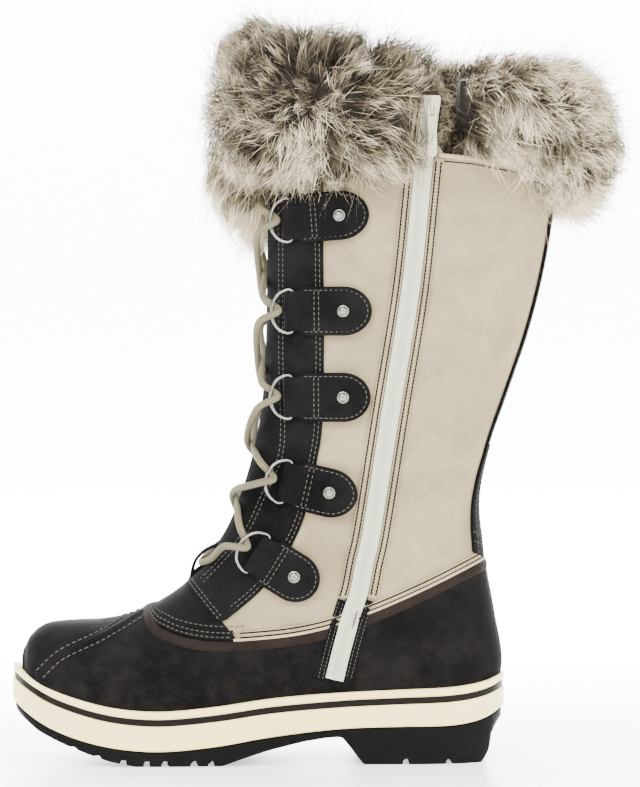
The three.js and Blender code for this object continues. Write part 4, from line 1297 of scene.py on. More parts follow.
class BOOT_OT_facings(bpy.types.Operator):
    """Charcoal facings beside the throat: rows of a section from the throat's edge to the
    facing's rear edge, lifted over the vamp at the lower end; double pale stitching."""

    bl_idname, bl_label = "boot.facings", "Facings"

    def execute(self, context):
        rows = Shape()
        for name, side in BOTH_SIDES:
            rear_edge = even(spline(FACING_REAR[::-1]), step=2 * MM)
            line = np.concatenate([even(FACING_END[::-1], step=MM)[:-1], rear_edge])
            edge_at, edge_turn = side_view(line[:, 0], line[:, 1], side)
            order = np.argsort(edge_at)
            at = np.linspace(edge_at.min(), 20.8, 190)[:, None]
            rear = np.interp(at, edge_at[order], edge_turn[order])
            front = turn_at(at, side * THROAT_HALF)
            rear = side * np.maximum(side * rear, side * front + 1e-4)
            across = np.linspace(0, 1, 22)[None]
            turn = front + (rear - front) * across
            flat = skin(at, turn, TRIM)
            over = 1 - smoothstep(near(flat, seam(FACING_END, side, TRIM)[0]), 4 * MM, 12 * MM)
            lift = TRIM + over * 0.7 * MM
            points = skin(at, turn, lift)
            shape = Shape().grid(points)
            settle(shape, f"facing_{name}_leather", "Charcoal nubuck", "charcoal",
                   [f"facing_{name}"], thick=1.1 * MM, bevel=0.35 * MM, away=INSIDE)

            front_line = even(spline(FACING_STITCH), step=2 * MM)
            rear_line = even(spline(FACING_REAR), step=2 * MM)
            end_line = even(FACING_END[1:], step=2 * MM)
            for drawn, push, lift in (
                (front_line, 0, 1.45), (front_line, -2.2, 1.45), (rear_line, 1.8, 1.45),
                (rear_line, 4.0, 1.45), (end_line, 1.8, 2.15), (end_line, 4.0, 2.15),
            ):
                path, out = seam(beside(drawn, push * MM), side, lift * MM)
                sewn(rows, path, out)
        settle(rows, "facing_stitches", "Pale thread", "charcoal")
        return {"FINISHED"}


HEEL_TAB = np.array([(100, 22), (128, 19), (152, 14), (180, 10)]) * MM  # height, half width


class BOOT_OT_heel(bpy.types.Operator):
    """Black strip up the back and the charcoal heel tab below it with its cross stitches."""

    bl_idname, bl_label = "boot.heel", "Back stay and heel tab"

    def execute(self, context):
        across = np.linspace(-1, 1, 24)[None]
        at = np.linspace(15.9, 21.0, 110)[:, None]
        turn = np.pi - turn_at(at, across * STAY_HALF * MM)
        points = skin(at, turn, TRIM + 0.5 * MM)
        keep = below(lambda x: top_line(x) + 2 * MM, points)
        shape = Shape().grid(points, keep=keep)
        settle(shape, "back_stay_leather", "Stay leather", "stay", ["back_stay"],
               thick=1.0 * MM, bevel=0.3 * MM, away=INSIDE)

        z = np.linspace(114.5, 180, 50)[:, None] * MM
        start, end = np.full(z.shape, 12.0), np.full(z.shape, 17.0)
        _, _, at = halving(start, end, 24, lambda at: back_z(at) < z)
        half = np.interp(z, *HEEL_TAB.T)
        turn = np.pi - turn_at(at, across * half)
        pad = 1.9 + 0.7 * (1 - across**2) * smoothstep(z, 0.114, 0.13)
        points = skin(at, turn, pad * MM)
        settle(Shape().grid(points), "heel_tab_leather", "Charcoal nubuck", "charcoal",
               ["heel_tab"], thick=1.6 * MM, bevel=0.5 * MM, away=INSIDE)

        rows, out = Shape(), last_normal(np.broadcast_to(at, turn.shape), turn)
        for k in (5, 9):
            sewn(rows, points[k], out[k])
        for column in (2, -3):
            sewn(rows, points[:, column], out[:, column])
        settle(rows, "heel_stitches", "Pale thread", "charcoal")
        return {"FINISHED"}


# ---- ring tabs, D-rings, rivets and lace ------------------------------------------------


def ring_frame(tab, side):
    """Where a D-ring sits: its middle, the way forwards along the tab, the way up the ring and
    the way out of the surface."""
    bar_x, bar_z, rivet_x, rivet_z, _ = tab
    slope = np.arctan2(bar_z - rivet_z, bar_x - rivet_x)
    x, z, off = bar_x, bar_z, (TAB_FROM + TAB_TO) / 2
    for _ in range(4):
        at, turn = side_view(x, z, side)
        point = skin(at, turn, off)
        x, z = x + bar_x - point[0], z + bar_z - point[2]
    out = last_normal(at, turn)
    forward = unit(np.cross([0, 0, 1.0], out) * -side)
    upward = unit(np.array([0, 0, 1.0]) - out * out[2]) * np.cos(slope) - forward * np.sin(slope)
    ahead = unit(forward * np.cos(slope) + np.array([0, 0, np.sin(slope)]))
    ahead = ahead * np.cos(RING_LIFT) + out * np.sin(RING_LIFT)
    return point + out * RING_RISE, ahead, upward, out


# A ring tab: half width, half width where it is rolled round the bar, the roll's reach, middle
# height and radius, the height its thin edge is drawn to, and the cross rows' place either side.
TAB_HALF, FOLD_HALF, FOLD_REACH, FOLD_MIDDLE, FOLD_RADIUS, TAB_EDGE, CROSS_ROW = (
    np.array([13.75, 11.3, 2.8, 3.75, 2.75, 2.9, 1.2]) * MM
)


class BOOT_OT_tabs(bpy.types.Operator):
    """Leather tabs with a round end, rolled round the rings' bars: rounded oblong sections
    along the tab, half width sqrt(1 - (a / reach)^2) at the round end, laid on the last."""

    bl_idname, bl_label = "boot.tabs", "Ring tabs"

    def execute(self, context):
        loop = oblong((-0.9, -0.74, -0.58, -0.3, 0, 0.3, 0.58, 0.74, 0.9))
        for name, side in BOTH_SIDES:
            rows = Shape()
            for number, tab in enumerate(TABS, 1):
                bar_x, bar_z, rivet_x, rivet_z, reach = tab
                slope = np.arctan2(bar_z - rivet_z, bar_x - rivet_x)
                span = np.hypot(bar_x - rivet_x, bar_z - rivet_z)
                cross_rows = span * 0.5 - CROSS_ROW, span * 0.5 + CROSS_ROW
                end = -np.cos(np.linspace(0, np.pi / 2, 15)) * reach
                run = np.linspace(0, span, 26)[1:]
                front = span + np.sin(np.linspace(0, np.pi / 2, 8))[1:] * FOLD_REACH
                along = np.concatenate([end, run, front])
                narrower = smoothstep(along, span - 8.5 * MM, span - 4.5 * MM)
                wide = np.where(
                    along < 0, np.sqrt(np.maximum(1 - (along / reach) ** 2, 0)) * TAB_HALF,
                    TAB_HALF - (TAB_HALF - FOLD_HALF) * narrower)
                turned = np.clip((along - span) / FOLD_REACH, 0, 1)
                bow = FOLD_RADIUS * np.sqrt(1 - turned**2)
                roll = smoothstep(along, span - 7 * MM, span - 1 * MM)
                high = np.where(along > span, FOLD_MIDDLE + bow, TAB_TO + roll * 1.9 * MM)
                low = np.where(along > span, np.maximum(FOLD_MIDDLE - bow, TAB_FROM), TAB_FROM)
                thin = smoothstep(np.sqrt(np.maximum(along + reach, 0)), 0, np.sqrt(1.3 * MM))
                low, high = (TAB_EDGE + (level - TAB_EDGE) * thin for level in (low, high))
                troughs = (bump(along, place, 0.7 * MM) for place in cross_rows)
                high = high - 0.22 * MM * sum(troughs)
                across, up = oblong_loops(wide, low, high, 0.9 * MM, loop)
                bend = 0.5 * MM * np.sin(along / span * 2 + number)[:, None] * (across / TAB_HALF) ** 2
                x = rivet_x + along[:, None] * np.cos(slope) - across * np.sin(slope)
                z = rivet_z + along[:, None] * np.sin(slope) + across * np.cos(slope)
                at, turn = side_view(x, z, side)
                points = skin(at, turn) + last_normal(at, turn) * (up + bend * (up > 3 * MM))[..., None]
                shape = Shape().grid(points, wrap=(False, True))
                node = f"ring_tab_{name}_{number}"
                settle(shape, f"{node}_leather", "Charcoal nubuck", "charcoal", [node], sharp=1.0)

                inset, row_end = 2.1 * MM, [span - 7.5 * MM]
                row_half = TAB_HALF - inset
                swing = np.linspace(np.pi / 2, 3 * np.pi / 2, 40)
                rim_a = np.concatenate([row_end, np.cos(swing) * (reach - inset), row_end])
                rim_b = np.concatenate([[row_half], np.sin(swing) * row_half, [-row_half]])
                lines = [np.stack([rim_a, rim_b], -1)]
                lines += [np.array([(place, row_half), (place, -row_half)]) for place in cross_rows]
                for line in lines:
                    a, b = even(line, step=MM).T
                    x = rivet_x + a * np.cos(slope) - b * np.sin(slope)
                    z = rivet_z + a * np.sin(slope) + b * np.cos(slope)
                    at, turn = side_view(x, z, side)
                    sewn(rows, skin(at, turn, TAB_TO), last_normal(at, turn))
            settle(rows, f"tab_stitches_{name}", "Pale thread", "charcoal")
        return {"FINISHED"}


RIVET = np.array([  # a rivet's profile: radius, height
    (0, 0), (4.1, 0), (4.4, 0.3), (4.1, 0.55), (3.5, 0.6), (3.4, 0.8), (3.2, 1.25), (2.6, 1.75),
    (1.8, 2.1), (0.9, 2.3), (0, 2.35),
]) * MM


class BOOT_OT_rings(bpy.types.Operator):
    """Nickel D-rings, a round wire carried round a bar and a bow, and domed rivets: a profile
    turned about the way out of each tab."""

    bl_idname, bl_label = "boot.rings", "D-rings and rivets"

    def execute(self, context):
        for name, side in BOTH_SIDES:
            for number, tab in enumerate(TABS, 1):
                middle_at, ahead, upward, out = ring_frame(tab, side)
                swing = np.linspace(0.455, -0.455, 11) * np.pi
                bow = np.stack([np.maximum(np.cos(swing), 0) ** 0.8, np.sin(swing)], -1)
                bow *= [RING_REACH, RING_HALF]
                bar = np.array([(0.8, -0.93), (0, -0.72), (0, 0), (0, 0.72), (0.8, 0.93)])
                bar *= [MM, RING_HALF]
                path = spline(np.concatenate([bow, bar]), closed=True, per=6)
                path = middle_at + path[:, :1] * ahead + path[:, 1:] * upward
                path = even(path, count=72, closed=True)
                up = np.broadcast_to(unit(np.cross(ahead, upward)), path.shape)
                shape = Shape().grid(sweep(path, up, ring(WIRE / 2, 9), True), wrap=(True, True))
                node = f"d_ring_{name}_{number}"
                settle(shape, f"{node}_wire", "Nickel", "nickel", [node])

                at, turn = side_view(tab[2], tab[3], side)
                out = last_normal(at, turn)
                seat = skin(at, turn, TAB_TO - 0.1 * MM)
                one = unit(np.cross(out, [0, 0, 1.0]))
                two = np.cross(out, one)
                swing = np.arange(28) / 28 * 2 * np.pi
                wide, tall = RIVET.T
                spread = np.cos(swing)[:, None] * one + np.sin(swing)[:, None] * two
                points = seat + spread[None] * wide[:, None, None] * RIVET_SCALE
                points = points + out * tall[:, None, None]
                shape = Shape().grid(points, wrap=(False, True))
                node = f"rivet_{name}_{number}"
                settle(shape, f"{node}_dome", "Nickel", "nickel", [node], sharp=0.8)
        return {"FINISHED"}


def carried(path, start):
    """A way out at each point of a path that turns with it and never twists round it."""
    way = slopes(path)
    out = [unit(start - way[0] * np.dot(start, way[0]))]
    for k in range(1, len(path)):
        out.append(unit(out[-1] - way[k] * np.dot(out[-1], way[k])))
    return np.array(out)


class BOOT_OT_lace(bpy.types.Operator):
    """Round braided lace: out of the keeper, over each ring's wire and up through the ring,
    crossing itself in front of the tongue, one run over the other in turn."""

    bl_idname, bl_label = "boot.lace", "Lace"

    def execute(self, context):
        shape = Shape()
        for start in (1, -1):
            points = []
            for z, y, lift in ((0.111, 0, 2.25), (0.1114, 7, 2.3), (0.1165, 15.5, 3.6)):
                at = float(at_height(z, 6, 22))
                points.append(skin(at, float(turn_at(at, start * y * MM)), lift * MM))
            if start < 0:
                points = points[1:]
            side = start
            for number in range(len(TABS), 0, -1):
                middle_at, ahead, upward, out = ring_frame(TABS[number - 1], side)
                spot = lambda along, up, off: middle_at + (ahead * along + upward * up + out * off) * MM
                points += [spot(18, -5.5, 2.6), spot(12.4, -2.6, 3.0), spot(8.2, 0.2, 0.6),
                           spot(12.4, 3.2, -2.9), spot(17.5, 7, -1.2)]
                if number > 1:
                    z = (TABS[number - 1][1] + TABS[number - 2][1]) / 2
                    z += 12 * MM if number == len(TABS) else -2 * MM
                    lift = (4.6 if (number % 2 == 0) == (start > 0) else 0.8) * MM
                else:
                    z, lift = 0.322, 3.5 * MM
                at = float(at_height(z, 6, 22))
                front = skin(at, 0.0, lift)
                points.append(front + np.array([0, side * 4 * MM if number == 1 else 0, 0]))
                if number == 1:
                    points.append(front + np.array([6 * MM, -side * 4 * MM, 22 * MM]))
                side = -side
            path = even(spline(np.array(points), per=14), step=1.3 * MM)
            out = carried(path, np.array([1.0, 0.1, 0.3]))
            strip(shape, path, out, ring(sizes().lace / 2, 10))
        settle(shape, "lace_braid", "Lace braid", "lace", ["lace"])
        return {"FINISHED"}


# ---- zip --------------------------------------------------------------------------------


def zip_path(push, z_from, z_to, lift):
    """The zip's line moved sideways, laid on the upper and stepped up on to the shell."""
    line = even(spline(ZIP_LINE), step=1.5 * MM)
    line = beside(line, push * MM)
    line = line[(line[:, 1] > z_from * MM) & (line[:, 1] < z_to * MM)]
    at, turn = side_view(line[:, 0], line[:, 1], 1)
    shell_top = shell_line(line[:, 0])
    step_up = 1.9 * MM * (1 - smoothstep(line[:, 1], shell_top - 3 * MM, shell_top + 5 * MM))
    return skin(at, turn, lift * MM + step_up), last_normal(at, turn)


TAPE = np.array([  # right half of the zip's section, from the groove between the coils outwards
    (0, 1.35), (0.3, 1.7), (1.1, 1.8), (1.7, 1.5), (2.1, 1.05), (3.0, 1.0), (3.3, 0.75), (3.6, 1.0),
    (5.0, 0.8), (5.2, 0.2), (5.0, 0),
])
ZIP_FOOT, GUARD_FOOT = 47, 93  # height of the hem's foot, and where the guards take over


class BOOT_OT_zip(bpy.types.Operator):
    """Pale zip with a covered coil, taupe guards with double dark stitching beside it, a
    charcoal hem where it runs down into the shell, and piping on the upper's top edge. Thin
    dark lines along the coil's groove, under the stitch rows and at the tape's edges are
    painted shade."""

    bl_idname, bl_label = "boot.zip", "Zip tape and guards"

    def execute(self, context):
        path, out = zip_path(0, 47.5, 376, 0.3)
        half, mirror = TAPE, [-1, 1]
        loop = np.concatenate([half[-2:0:-1] * mirror, half, half[-1:] * mirror]) * MM
        settle(strip(Shape(), path, out, loop), "zip_tape", "Zip tape", "zip_tape", ["zip"],
               sharp=1.0)

        coil, grooves = Shape(), Shape()
        for push in (-1.05, 1.05):
            path, out = zip_path(push, 50, 374, 1.95)
            stitch_row(coil, path, out, 1.7 * MM, 1.6 * MM, 0.42 * MM, lean=5.0)
        for push in (-4.3, 4.3):
            path, out = zip_path(push, 50, 374, 1.2)
            stitch_row(coil, path, out, 2.4 * MM, 1.8 * MM, 0.18 * MM)
        # painted shade: thin lines darker than the tape along the groove between the coils and the
        # edges of the coil's cover
        for push, half in ((-2.55, 0.4), (0.0, 0.22), (2.55, 0.4)):
            path, out = zip_path(push, 50, 374, 1.28 if push else 1.62)
            painted_shadow_line(grooves, path, out, half * MM, 0.0)
        settle(grooves, "zip_grooves", "Pale thread", "zip_tape")
        settle(coil, "zip_coil", "White thread", "zip_tape")

        guards, dark, pale = Shape(), Shape(), Shape()
        for push, top in ((8.2, 340.5), (-8.2, 374)):
            path, out = zip_path(push, GUARD_FOOT, top, 0.1)
            strip(guards, path, out, lying(2.9 * MM, 1.5 * MM, 3.2, 12))
            for offset in (-1.25, 1.25):
                path, out = zip_path(push + offset, 94, top - 1.5, 1.5)
                stitch_row(dark, path, out, sizes().fine_pitch, 1.6 * MM, 0.5 * MM)
                # a painted shadow line under each row of stitches
                painted_shadow_line(dark, path, out, 0.62 * MM, 0.06 * MM)
        # painted shade: dark lines in the gaps between the tape's edges and the guards
        for push in (-5.45, 5.45):
            path, out = zip_path(push, 50, 372, 0.9)
            painted_shadow_line(dark, path, out, 0.42 * MM, 0.0)
        settle(guards, "zip_guards", "Taupe nubuck", "shaft", sharp=1.0)
        settle(dark, "zip_stitches", "Dark thread", "shaft")

        hem = Shape()
        for push in (7.6, -7.6):
            path, out = zip_path(push, ZIP_FOOT, GUARD_FOOT, 0.15)
            strip(hem, path, out, lying(2.5 * MM, 1.1 * MM, 3.0, 10))
            for offset in (-1.1, 1.3):
                path, out = zip_path(push + offset * np.sign(push), 48, 92, 1.2)
                stitch_row(pale, path, out, 2.2 * MM, 1.6 * MM, 0.24 * MM)
        settle(hem, "zip_hem", "Charcoal nubuck", "charcoal", sharp=1.0)
        settle(pale, "hem_stitches", "Pale thread", "charcoal")

        edge, rows = Shape(), Shape()
        x = np.linspace(-74, -7, 60) * MM
        at, turn = side_view(x, top_line(x) - 1.2 * MM, 1)
        loop = lying(1.3 * MM, 1.1 * MM, 2.4, 9)
        strip(edge, skin(at, turn, 0.1 * MM), last_normal(at, turn), loop)
        settle(edge, "top_edge_piping", "Piping leather", "shaft", sharp=1.0)
        at, turn = side_view(x, top_line(x) - 4.2 * MM, 1)
        path, out = skin(at, turn, 0.1 * MM), last_normal(at, turn)
        stitch_row(rows, path, out, sizes().fine_pitch, 1.6 * MM, 0.3 * MM)
        # a painted shadow line under the row of stitches
        painted_shadow_line(rows, path, out, 0.36 * MM, 0.05 * MM)
        settle(rows, "top_edge_stitches", "Dark thread", "shaft")
        return {"FINISHED"}


def slab(shape, outline, back, front, soft):
    """A flat plate from an outline (x, z): drawn in by soft at both faces, closed at its
    middle; y runs from back to front."""
    core = outline.mean(0)
    way = slopes(outline, True)
    inward = np.stack([way[:, 1], -way[:, 0]], -1)
    inward *= np.sign(np.sum(inward * (core - outline)))
    turn = np.linspace(0, np.pi / 2, 4)
    insets = np.concatenate([soft * (1 - np.sin(turn)), soft * (1 - np.cos(turn))])
    depths = np.concatenate([back + soft * (1 - np.cos(turn)), front - soft * (1 - np.sin(turn))])
    loops = outline[None] + inward[None] * insets[:, None, None]
    shut = np.broadcast_to(core, loops[:1].shape)
    loops = np.concatenate([shut, loops, shut])
    depths = np.concatenate([depths[:1], depths, depths[-1:]])
    y = np.broadcast_to(depths[:, None], loops.shape[:2])
    points = np.stack([loops[..., 0], y, loops[..., 1]], -1)
    return shape.grid(points, wrap=(False, True))


def rounded(corners, radius):
    """A closed outline through straight sides with round corners of that radius."""
    corners = np.asarray(corners, float)
    before, after = np.roll(corners, 1, 0), np.roll(corners, -1, 0)
    a = corners + unit(before - corners) * radius
    b = corners + unit(after - corners) * radius
    t = np.linspace(0, 1, 6)[None, :, None]
    bends = (1 - t) ** 2 * a[:, None] + 2 * t * (1 - t) * corners[:, None] + t**2 * b[:, None]
    return bends.reshape(-1, 2)


class BOOT_OT_slider(bpy.types.Operator):
    """Zip slider with its arch, and the long pull tab that swings on a bar under the arch."""

    bl_idname, bl_label = "boot.slider", "Slider and pull"

    def execute(self, context):
        low, high = (np.array(corner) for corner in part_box("zip_slider"))
        pull_low, pull_high = (np.array(corner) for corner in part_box("zip_pull"))
        x, z = (low[0] + high[0]) / 2, (low[2] + high[2]) / 2
        corners = [(-4.4, 5.5), (4.4, 5.5), (4.7, 1), (3.4, -5.5), (-3.4, -5.5), (-4.7, 1)]
        body = rounded(np.array(corners) * MM, 1.1 * MM)
        shape = slab(Shape(), body + [x, z], low[1], low[1] + 3 * MM, 0.6 * MM)
        hub_y, hub_z = (pull_low[1] + pull_high[1]) / 2, pull_high[2] - 0.65 * MM
        swing = np.linspace(0, np.pi, 15)
        arch_y = hub_y - 1.3 * MM + np.sin(swing) * 2.5 * MM
        arch = np.stack([np.full(15, x), arch_y, hub_z + np.cos(swing) * 3.0 * MM], -1)
        out = np.stack([swing * 0, np.sin(swing), np.cos(swing)], -1)
        corners = [(-0.9, -0.45), (0.9, -0.45), (0.9, 0.45), (-0.9, 0.45)]
        flat = rounded(np.array(corners) * MM, 0.3 * MM)
        strip(shape, arch, out, flat)
        settle(shape, "slider_body", "Zip enamel", "zip_metal", ["zip_slider"], sharp=0.8)

        half, long = 2.6 * MM, 30 * MM
        tip = np.linspace(np.pi, 2 * np.pi, 15)
        thick, soft = 0.65 * MM, 0.3 * MM
        outer_loop = np.concatenate([
            [[half, 0.0], [half, thick], [0, thick], [-half, thick], [-half, 0.0]],
            np.stack([half * np.cos(tip), -long + half + half * np.sin(tip)], -1),
        ])
        outer_loop = even(outer_loop[::-1], count=64, closed=True)
        eye = rounded(np.array([(1.25, -0.65), (-1.25, -0.65), (-1.25, -7), (1.25, -7)]) * MM, 0.6 * MM)
        middle_of = np.array([0, -3.8 * MM])
        turn_of = lambda loop: np.arctan2(loop[:, 1] - middle_of[1], loop[:, 0] - middle_of[0])
        eye = even(eye, count=200, closed=True)
        eye = eye[np.argsort(turn_of(eye))]
        outer_loop = outer_loop[np.argsort(turn_of(outer_loop))]
        inner_loop = np.stack([
            np.interp(turn_of(outer_loop), turn_of(eye), column, period=2 * np.pi) for column in eye.T
        ], -1)
        loops, depths = [], []
        for loop, draw, depth in (
            (inner_loop, soft, -thick), (outer_loop, -soft, -thick), (outer_loop, 0, soft - thick),
            (outer_loop, 0, thick - soft), (outer_loop, -soft, thick), (inner_loop, soft, thick),
            (inner_loop, 0, thick - soft), (inner_loop, 0, soft - thick),
        ):
            away = unit(loop - middle_of)
            loops.append(loop + away * draw * 0.8)
            depths.append(depth)
        loops = np.array(loops) + [x, hub_z]
        depths = np.broadcast_to(np.array(depths)[:, None] + hub_y, loops.shape[:2])
        shape = Shape().grid(np.stack([loops[..., 0], depths, loops[..., 1]], -1), wrap=(True, True))
        settle(shape, "pull_tab", "Zip enamel", "zip_metal", ["zip_pull"], body="zip_pull",
               sharp=0.8)
        return {"FINISHED"}


# ---- fur --------------------------------------------------------------------------------

FUR_CURVES = [curve(FUR[:, 0], FUR[:, k]) for k in range(1, 5)]
COLLAR_AT = ENDS - 2
FRONT_WHORL, BACK_WHORL = np.array([(62, 370), (-16, 384)]) * MM  # their middles, x z
ROOM_SHARE, ROOM, SOFT = 0.03, 9 * MM, 14 * MM  # how far fur may stand out of the part's box
INNER_SIDE = 12 * MM  # hair further to the inner side than this is parted at the zip
PARTING_TOP = 0.383
WILD = 0.17  # share of the hairs that leave their lock


def roll_point(degrees, swing, share):
    """A point of the collar's roll and the way out of it: the wall's point moved out, then
    share * (half depth * cos(swing) outwards, half height * sin(swing) upwards)."""
    base, out_by, deep, tall = (one(degrees) for one in FUR_CURVES)
    turn = np.radians(degrees)
    wall = last_point(COLLAR_AT, turn)
    out = last_normal(COLLAR_AT, turn) * [1, 1, 0]
    out = unit(out)
    point = wall + out * (out_by + deep * share * np.cos(swing))[..., None]
    point[..., 2] = base + tall * share * np.sin(swing)
    way = out * (np.cos(swing) / deep)[..., None]
    way[..., 2] += np.sin(swing) / tall
    return point, unit(way)


def combed(point, swirl):
    """The way the fur is combed, seen from the side: away from a whorl on each fur mass and
    from the parting at the zip, turned by the swirl angle."""
    front_mass = point[..., 0] > -8 * MM
    x, z = (np.where(front_mass, *both) for both in zip(FRONT_WHORL, BACK_WHORL))
    dx, dz = point[..., 0] - x, point[..., 2] - z
    angle = np.arctan2(dz, dx) + swirl
    strength = smoothstep(np.hypot(dx, dz), 0, 35 * MM)
    way = np.stack([np.cos(angle), 0.25 * np.sign(point[..., 1]) * (1 - strength), np.sin(angle)], -1)
    return way * (0.35 + 0.65 * strength)[..., None]


def held_in(points):
    """The points drawn in to the part's box plus the room fur may stand out of it: past a
    line 14 mm short of each limit, the rest goes by tanh towards the limit."""
    low, high = (np.array(corner) for corner in CAD_BOX)
    room = (high - low) * ROOM_SHARE + ROOM
    over = np.maximum(points - (high + room - SOFT), 0)
    under = np.maximum((low - room + SOFT) - points, 0)
    return points - over + SOFT * np.tanh(over / SOFT) + under - SOFT * np.tanh(under / SOFT)


def grow(name, seed, degrees, swings, locks, share=(0.5, 0.85), hang=0.0, long=1.0, pale=0.0):
    """A piece of fur. Each hair is a thin blade along the curve (1-t)^2 root + 2t(1-t) middle
    + t^2 tip, where the tips of one lock draw together; u is 0 at the root and 1 at the tip."""
    rng = np.random.default_rng(seed)
    size = sizes()
    d = rng.uniform(*degrees, locks)
    s = rng.uniform(*swings, locks)
    root_share = rng.uniform(*share, locks)
    root, way = roll_point(d, s, root_share)
    surface, _ = roll_point(d, s, np.full(locks, 0.98))
    swirl = 0.7 * np.sin(d * 0.11 + 2.3 * s + seed) + 0.5 * np.sin(d * 0.27 - 3.1 * s)
    comb = combed(root, swirl + rng.normal(0, 0.28, locks))
    comb = comb - way * np.sum(comb * way, -1, keepdims=True)
    stretch = size.hair * rng.uniform(0.55, 1.0, locks) * long
    tip = surface + comb * (stretch * 0.62)[:, None]
    tip[:, 2] -= hang * stretch * (0.5 - 0.5 * np.sin(s))
    tip += way * rng.normal(0, 1.3 * MM, locks)[:, None]
    over = (tip[:, 1] > INNER_SIDE) & (root[:, 0] > 0) & (tip[:, 2] < 0.4)
    tip[:, 0] = np.where(over, np.maximum(tip[:, 0], rng.uniform(0.5, 10, locks) * MM), tip[:, 0])
    within = lambda x, low, high: (x > low * MM) & (x < high * MM)
    gap = (tip[:, 1] > INNER_SIDE) & within(tip[:, 0], -21, -4) & (tip[:, 2] < PARTING_TOP)
    gap |= (root[:, 1] > INNER_SIDE) & within(root[:, 0], -19, 0)
    root, way, tip, comb, stretch = (rows[~gap] for rows in (root, way, tip, comb, stretch))
    locks = len(root)

    shape = (locks, size.hairs)
    spread = rng.normal(0, 2.6 * MM, (*shape, 3))
    roots = root[:, None] + spread
    wild = rng.random(shape) < WILD
    fan = np.where(wild, 7.5 * MM, 1.9 * MM)[..., None]
    tips = tip[:, None] + spread * 0.25 + rng.normal(0, 1, (*shape, 3)) * fan
    tips += (tips - roots) * (rng.uniform(-0.28, 0.12, shape) + wild * 0.12)[..., None]
    bow = way * (0.55 * np.linalg.norm(tip - root, axis=-1))[:, None] + comb * (stretch * 0.12)[:, None]
    mids = roots + bow[:, None] + rng.normal(0, 1.6 * MM, (*shape, 3))
    roots, mids, tips = (rows.reshape(-1, 1, 3) for rows in (roots, mids, tips))

    t = np.array([0, 0.4, 0.75, 1.0])[None, :, None]
    line = held_in((1 - t) ** 2 * roots + 2 * t * (1 - t) * mids + t**2 * tips)
    facing = unit(np.cross(unit(tips - roots), rng.normal(0, 1, roots.shape)))
    taper = np.array([1, 0.9, 0.6, 0.0])[None, :, None]
    width = size.hair_width * taper * rng.uniform(0.6, 1.2, (len(roots), 1, 1)) / 2
    blades = np.stack([line - facing * width, line + facing * width], 2)
    tone_and_shade = rng.random((locks, 1)) * 0.6 + rng.random(shape) * 0.4 + pale
    crown = bump(root[:, 0], 42 * MM, 34 * MM) * bump(root[:, 2], 400 * MM, 15 * MM)
    crown = crown * smoothstep(root[:, 1], -20 * MM, 10 * MM)
    # painted shadow: hairs rooted beside the zip's parting are darkened almost to the root colour, for
    # the shade in the gap there
    parting = bump(root[:, 0], -15 * MM, 9 * MM) * (root[:, 1] > 5 * MM)
    skirt = smoothstep(root[:, 2], 0.372, 0.33) + smoothstep(root[:, 0], 0.085, 0.115)
    tone_and_shade += (0.14 * skirt - 0.5 * crown - 1.3 * parting)[:, None]
    u = np.broadcast_to(t[..., 0][..., None], (len(roots), 4, 2))
    v = np.broadcast_to(tone_and_shade.reshape(-1, 1, 1), u.shape)
    settle(Shape().grid(blades, uv=np.stack([u, v], -1)), name, "Fur", "fur")


class BOOT_OT_fur(bpy.types.Operator):
    """Fur collar: a dark undercoat roll with locks of hair over it, parted at the zip."""

    bl_idname, bl_label = "boot.fur", "Fur collar"

    def execute(self, context):
        degrees = np.linspace(104, 448, 120)[:, None]
        swing = np.linspace(0, 2 * np.pi, 41)[None, :-1]
        degrees, swing = np.broadcast_arrays(degrees, swing)
        lumps = 0.05 * np.sin(degrees * 0.21 + 3 * swing) + 0.04 * np.sin(degrees * 0.47 - 5 * swing)
        points, _ = roll_point(degrees, swing, 0.62 + lumps)
        uv = np.stack([np.full(points.shape[:2], -0.7), 0.5 + 4 * lumps], -1)
        body = capped(points)
        uv = np.concatenate([uv[:1], uv, uv[-1:]])
        shape = Shape().grid(body, wrap=(False, True), uv=uv)
        settle(shape, "fur_undercoat", "Fur", "fur", ["fur_collar"])

        locks, full = sizes().locks, (-0.62 * np.pi, 1.38 * np.pi)
        hanging = (-0.75 * np.pi, -0.2 * np.pi)
        grow("fur_front_inner", 3, (345, 452), full, locks + 160)
        grow("fur_front_outer", 5, (256, 345), full, locks - 60)
        grow("fur_back_inner", 7, (98, 180), full, locks, hang=0.2, long=1.05, pale=0.2)
        grow("fur_back_outer", 11, (180, 266), full, locks - 60, pale=0.2)
        grow("fur_hanging_front", 13, (308, 366), hanging, locks // 3, (0.7, 0.95), 0.95, 1.3, 0.05)
        return {"FINISHED"}


class BOOT_OT_insole(bpy.types.Operator):
    """Felt insole: the frame's own piece with a felt finish."""

    bl_idname, bl_label = "boot.insole", "Insole"

    def execute(self, context):
        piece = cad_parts["insole"]
        piece.data.materials.clear()
        piece.data.materials.append(material("Insole felt"))
        return {"FINISHED"}


# ---- stage ------------------------------------------------------------------------------


FRONT_Y, BACK_Y, BEND, BACK_TOP, FLOOR_HALF = 5.0, -3.4, 1.2, 5.5, 6.0  # the backdrop's sizes
SENSOR = 36  # the camera's film width, in its own millimetres
FOCUS_AWAY, FOCUS_WIDE = 1.8, 0.4486  # a plane before the camera, and the width it sees there
CAMERA_PLACE = (59.3 * MM, 1.81, 208.3 * MM)
GLOW = 9.0  # the floor's own light, in full far behind the boot and a tenth of it under it
WORLD_LIGHT = 1.9


